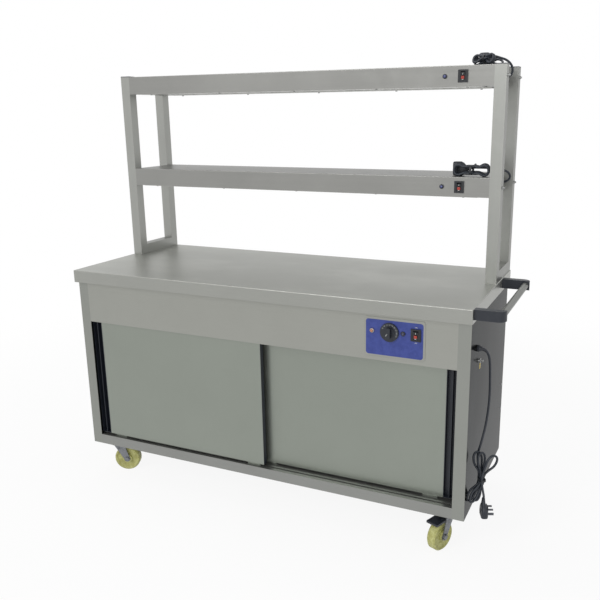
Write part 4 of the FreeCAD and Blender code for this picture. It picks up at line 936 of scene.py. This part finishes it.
# %% Main cord
main_centre = at(736, -217, 257)
main_across = Vector((-math.cos(math.radians(36)), -math.sin(math.radians(36)), 0))
main_stack = UP.cross(main_across)
main_lead = route((707, -190, 680), [
    (9, 0, 0), (21, 1, -7), (29, 3, -24), (32, 6, -52), (33, 9, -90), (34, 11, -132),
    (34, 10, -172), (32, 6, -212), (29, -2, -250), (24, -13, -285), (19, -22, -314)])
main_entry = [main_centre + main_across * 0.009 + UP * 0.080 - main_stack * 0.0190,
              main_centre + main_across * 0.008 + UP * 0.050 - main_stack * 0.0165]
main_turns = hank_turns(main_centre, UP, main_across, 0.0084,
                        heads=[(11, 0, 89, 16), (3, 0, 87, 14), (-26, 0, 84, 19)],
                        tails=[(8, 0, 82, 12), (33, 8, 82, 12), (27, 8, 80, 12)])
plug_top = at(741, -196, 163)
main_exit = [main_centre - main_across * 0.002 - UP * 0.044 + main_stack * 0.0125,
             plug_top + UP * 0.020 - main_across * 0.001, plug_top + UP * 0.008,
             plug_top - UP * 0.004]
main_plug_place = (Matrix.Translation(plug_top) @ Matrix.Rotation(math.radians(22), 4, "Z")
                   @ Matrix.Translation((-0.014, 0, 0)))
make_cord("main", main_lead + main_entry + main_turns + main_exit, main_plug_place,
          neck=0.015, boot=(0.024, 0.0062, 0.0042),
          band=(main_centre - UP * 0.002, UP, main_across, 0.0088, 0.0165))

# %% [markdown]
# ## The gantry's cords
#
# Both gantry shelves have their own cord. Each leaves a gland at the shelf's right-hand
# end, loops up over the shelf and lies there in a hank. The upper one has fallen into a
# small heap, and the lower one lies on edge like a bow, with its plug behind. Both plugs
# lie with their pins to the rear and their cord end to the right.

# %% Upper cord
SHELF_BOOT = (0.022, 0.0058, 0.0042)
LYING = Matrix(((0, 0, 1), (1, 0, 0), (0, 1, 0))).to_4x4()
upper_lead = route((669, 175, 1495), [
    (10, 0, 0), (22, 0, 6), (28, -1, 20), (23, -4, 40), (6, -9, 55), (-14, -20, 61)])
upper_centre = at(613, 130, 1552)
upper_along = (RIGHT * 0.95 - BACK * 0.30).normalized()
upper_across = -(UP * 0.8 + (BACK * 0.95 + RIGHT * 0.30).normalized() * 0.6).normalized()
upper_turns = hank_turns(upper_centre, upper_along, upper_across, 0.0082,
                         heads=[(6, 0, 31, 14), (-6, 0, 31, 14)],
                         tails=[(12, 0, 35, 15), (-8, 0, 33, 14), (6, 0, 36, 14)],
                         waist=0.007)
upper_exit = [at(*step) for step in (
    (636, 143, 1540), (650, 149, 1535), (660, 162, 1536), (663, 178, 1541),
    (657, 189, 1549), (646, 190, 1553.3), (632, 190, 1553.3))]
make_cord("upper", upper_lead + [at(641, 138, 1561)] + upper_turns + upper_exit,
          Matrix.Translation(at(634, 176, 1553.3)) @ LYING, neck=0.006, boot=SHELF_BOOT,
          band=(upper_centre, upper_along, upper_across, 0.0088, 0.0130))

# %% Lower cord
lower_lead = route((669, 175, 1156), [
    (10, 0, 0), (28, -1, 4), (39, -4, 18), (33, -12, 35), (12, -28, 45), (-8, -48, 47)])
lower_centre = at(596, 81, 1201.5)
lower_turns = hank_turns(lower_centre, RIGHT, UP, 0.0083,
                         heads=[(3, 0, 55, 17), (-3, 0, 53, 16), (1, 0, 55, 17),
                                (-1, 0, 57, 17)],
                         tails=[(2, 0, 57, 17), (-3, 0, 54, 16), (2, 0, 58, 17),
                                (0, 0, 56, 17)],
                         columns=(0.0070, 0.0125, 0.0080, 0.0120), waist=0.020)
lower_exit = [at(*step) for step in (
    (618, 60, 1211), (611, 61, 1218), (608, 80, 1219), (605, 100, 1218),
    (598, 112, 1212), (588, 114, 1204), (574, 114, 1203.3))]
# The last strand is left out: the way to the plug takes its place.
make_cord("lower", lower_lead + [at(648, 104, 1208)] + lower_turns[:-3] + lower_exit,
          Matrix.Translation(at(576, 100, 1203.3)) @ LYING, neck=0.006, boot=SHELF_BOOT,
          band=(lower_centre, RIGHT, UP, 0.0145, 0.0205))

# %% [markdown]
# ## Camera
#
# The photograph was taken from the right, about half a metre above the worktop, with a
# lens of about 43 mm. These numbers come from lining up the trolley's corners.

# %% Camera
camera_data = bpy.data.cameras.new("camera")
camera_data.lens, camera_data.sensor_width, camera_data.shift_x = 42.95, 36, -0.05
camera_data.clip_start, camera_data.clip_end = 0.05, 100
camera = added("camera", camera_data)
view = Matrix.Translation((1.1407, -2.2944, 1.3845))
for degrees, axis in ((24.06, "Z"), (90 - 14.57, "X"), (-0.54, "Z")):
    view @= Matrix.Rotation(math.radians(degrees), 4, axis)
camera.matrix_world = view
scene.camera = camera
scene.view_settings.view_transform = "Standard"
print("camera at", short(camera.matrix_world.translation))

# %% [markdown]
# ## Studio
#
# The background is plain white. The world and the floor show white only to the camera
# and to reflections, and light the trolley at a calmer level. Large soft lamps give the
# faces their different tones.

# %% World
world = bpy.data.worlds.new("studio")
scene.world = world
world.use_nodes = True
sky = Graph(world.node_tree)
background = sky.tree.nodes["Background"]
sky.feed(background.inputs["Color"], (1, 1, 1))
sky.feed(background.inputs["Strength"],
         sky.node("ShaderNodeMix", inputs={0: sky.seen_directly(), 2: 0.55, 3: 1.0}))
print("world:", world.name)

# %% Floor
floor_shape = bmesh.new()
bmesh.ops.create_grid(floor_shape, x_segments=24, y_segments=24, size=14)
floor_data = bpy.data.meshes.new("studio_floor")
floor_shape.to_mesh(floor_data)
floor_shape.free()
floor = added("studio_floor", floor_data)
floor.location.z = -0.0006
ground = Finish("pale_floor")
speckle = ground.noise(30, 3)
ground.surface(Base_Color=ground.blend(speckle, (0.84, 0.84, 0.84), (0.87, 0.87, 0.87)),
               Roughness=(speckle - 0.5) * 0.1 + 0.7)
x, y, z = ground.place_parts()
far = ((x * x + y * y) ** 0.5).smooth(1.3, 3.2)
glow = ground.node("ShaderNodeEmission", inputs={"Strength": 1.0})
cover = ground.node("ShaderNodeMixShader", inputs={
    0: ground.seen_directly() * (far * 0.10 + 0.90),
    1: Value(ground, ground.shader.outputs[0]), 2: glow})
ground.feed(ground.tree.nodes["Material Output"].inputs["Surface"], cover)
floor_data.materials.append(ground.material)
print("floor:", floor.name)

# %% Lamps


def lamp(name, place, aim, size, power):
    """A round area lamp, with its size in metres and its power in watts."""
    data = bpy.data.lights.new(name, "AREA")
    data.shape, data.size, data.energy = "DISK", size, power
    made = added(name, data)
    made.location = place
    made.rotation_euler = (Vector(aim) - Vector(place)).to_track_quat("-Z", "Y").to_euler()


lamp("key", (-3.0, -6.6, 5.4), (0, 0, 0.7), 3.6, 210)
lamp("front", (2.0, -7.4, 2.6), (0, 0, 0.7), 3.6, 100)
lamp("top", (-0.4, 0.6, 6.0), (0, 0, 0.6), 3.4, 70)
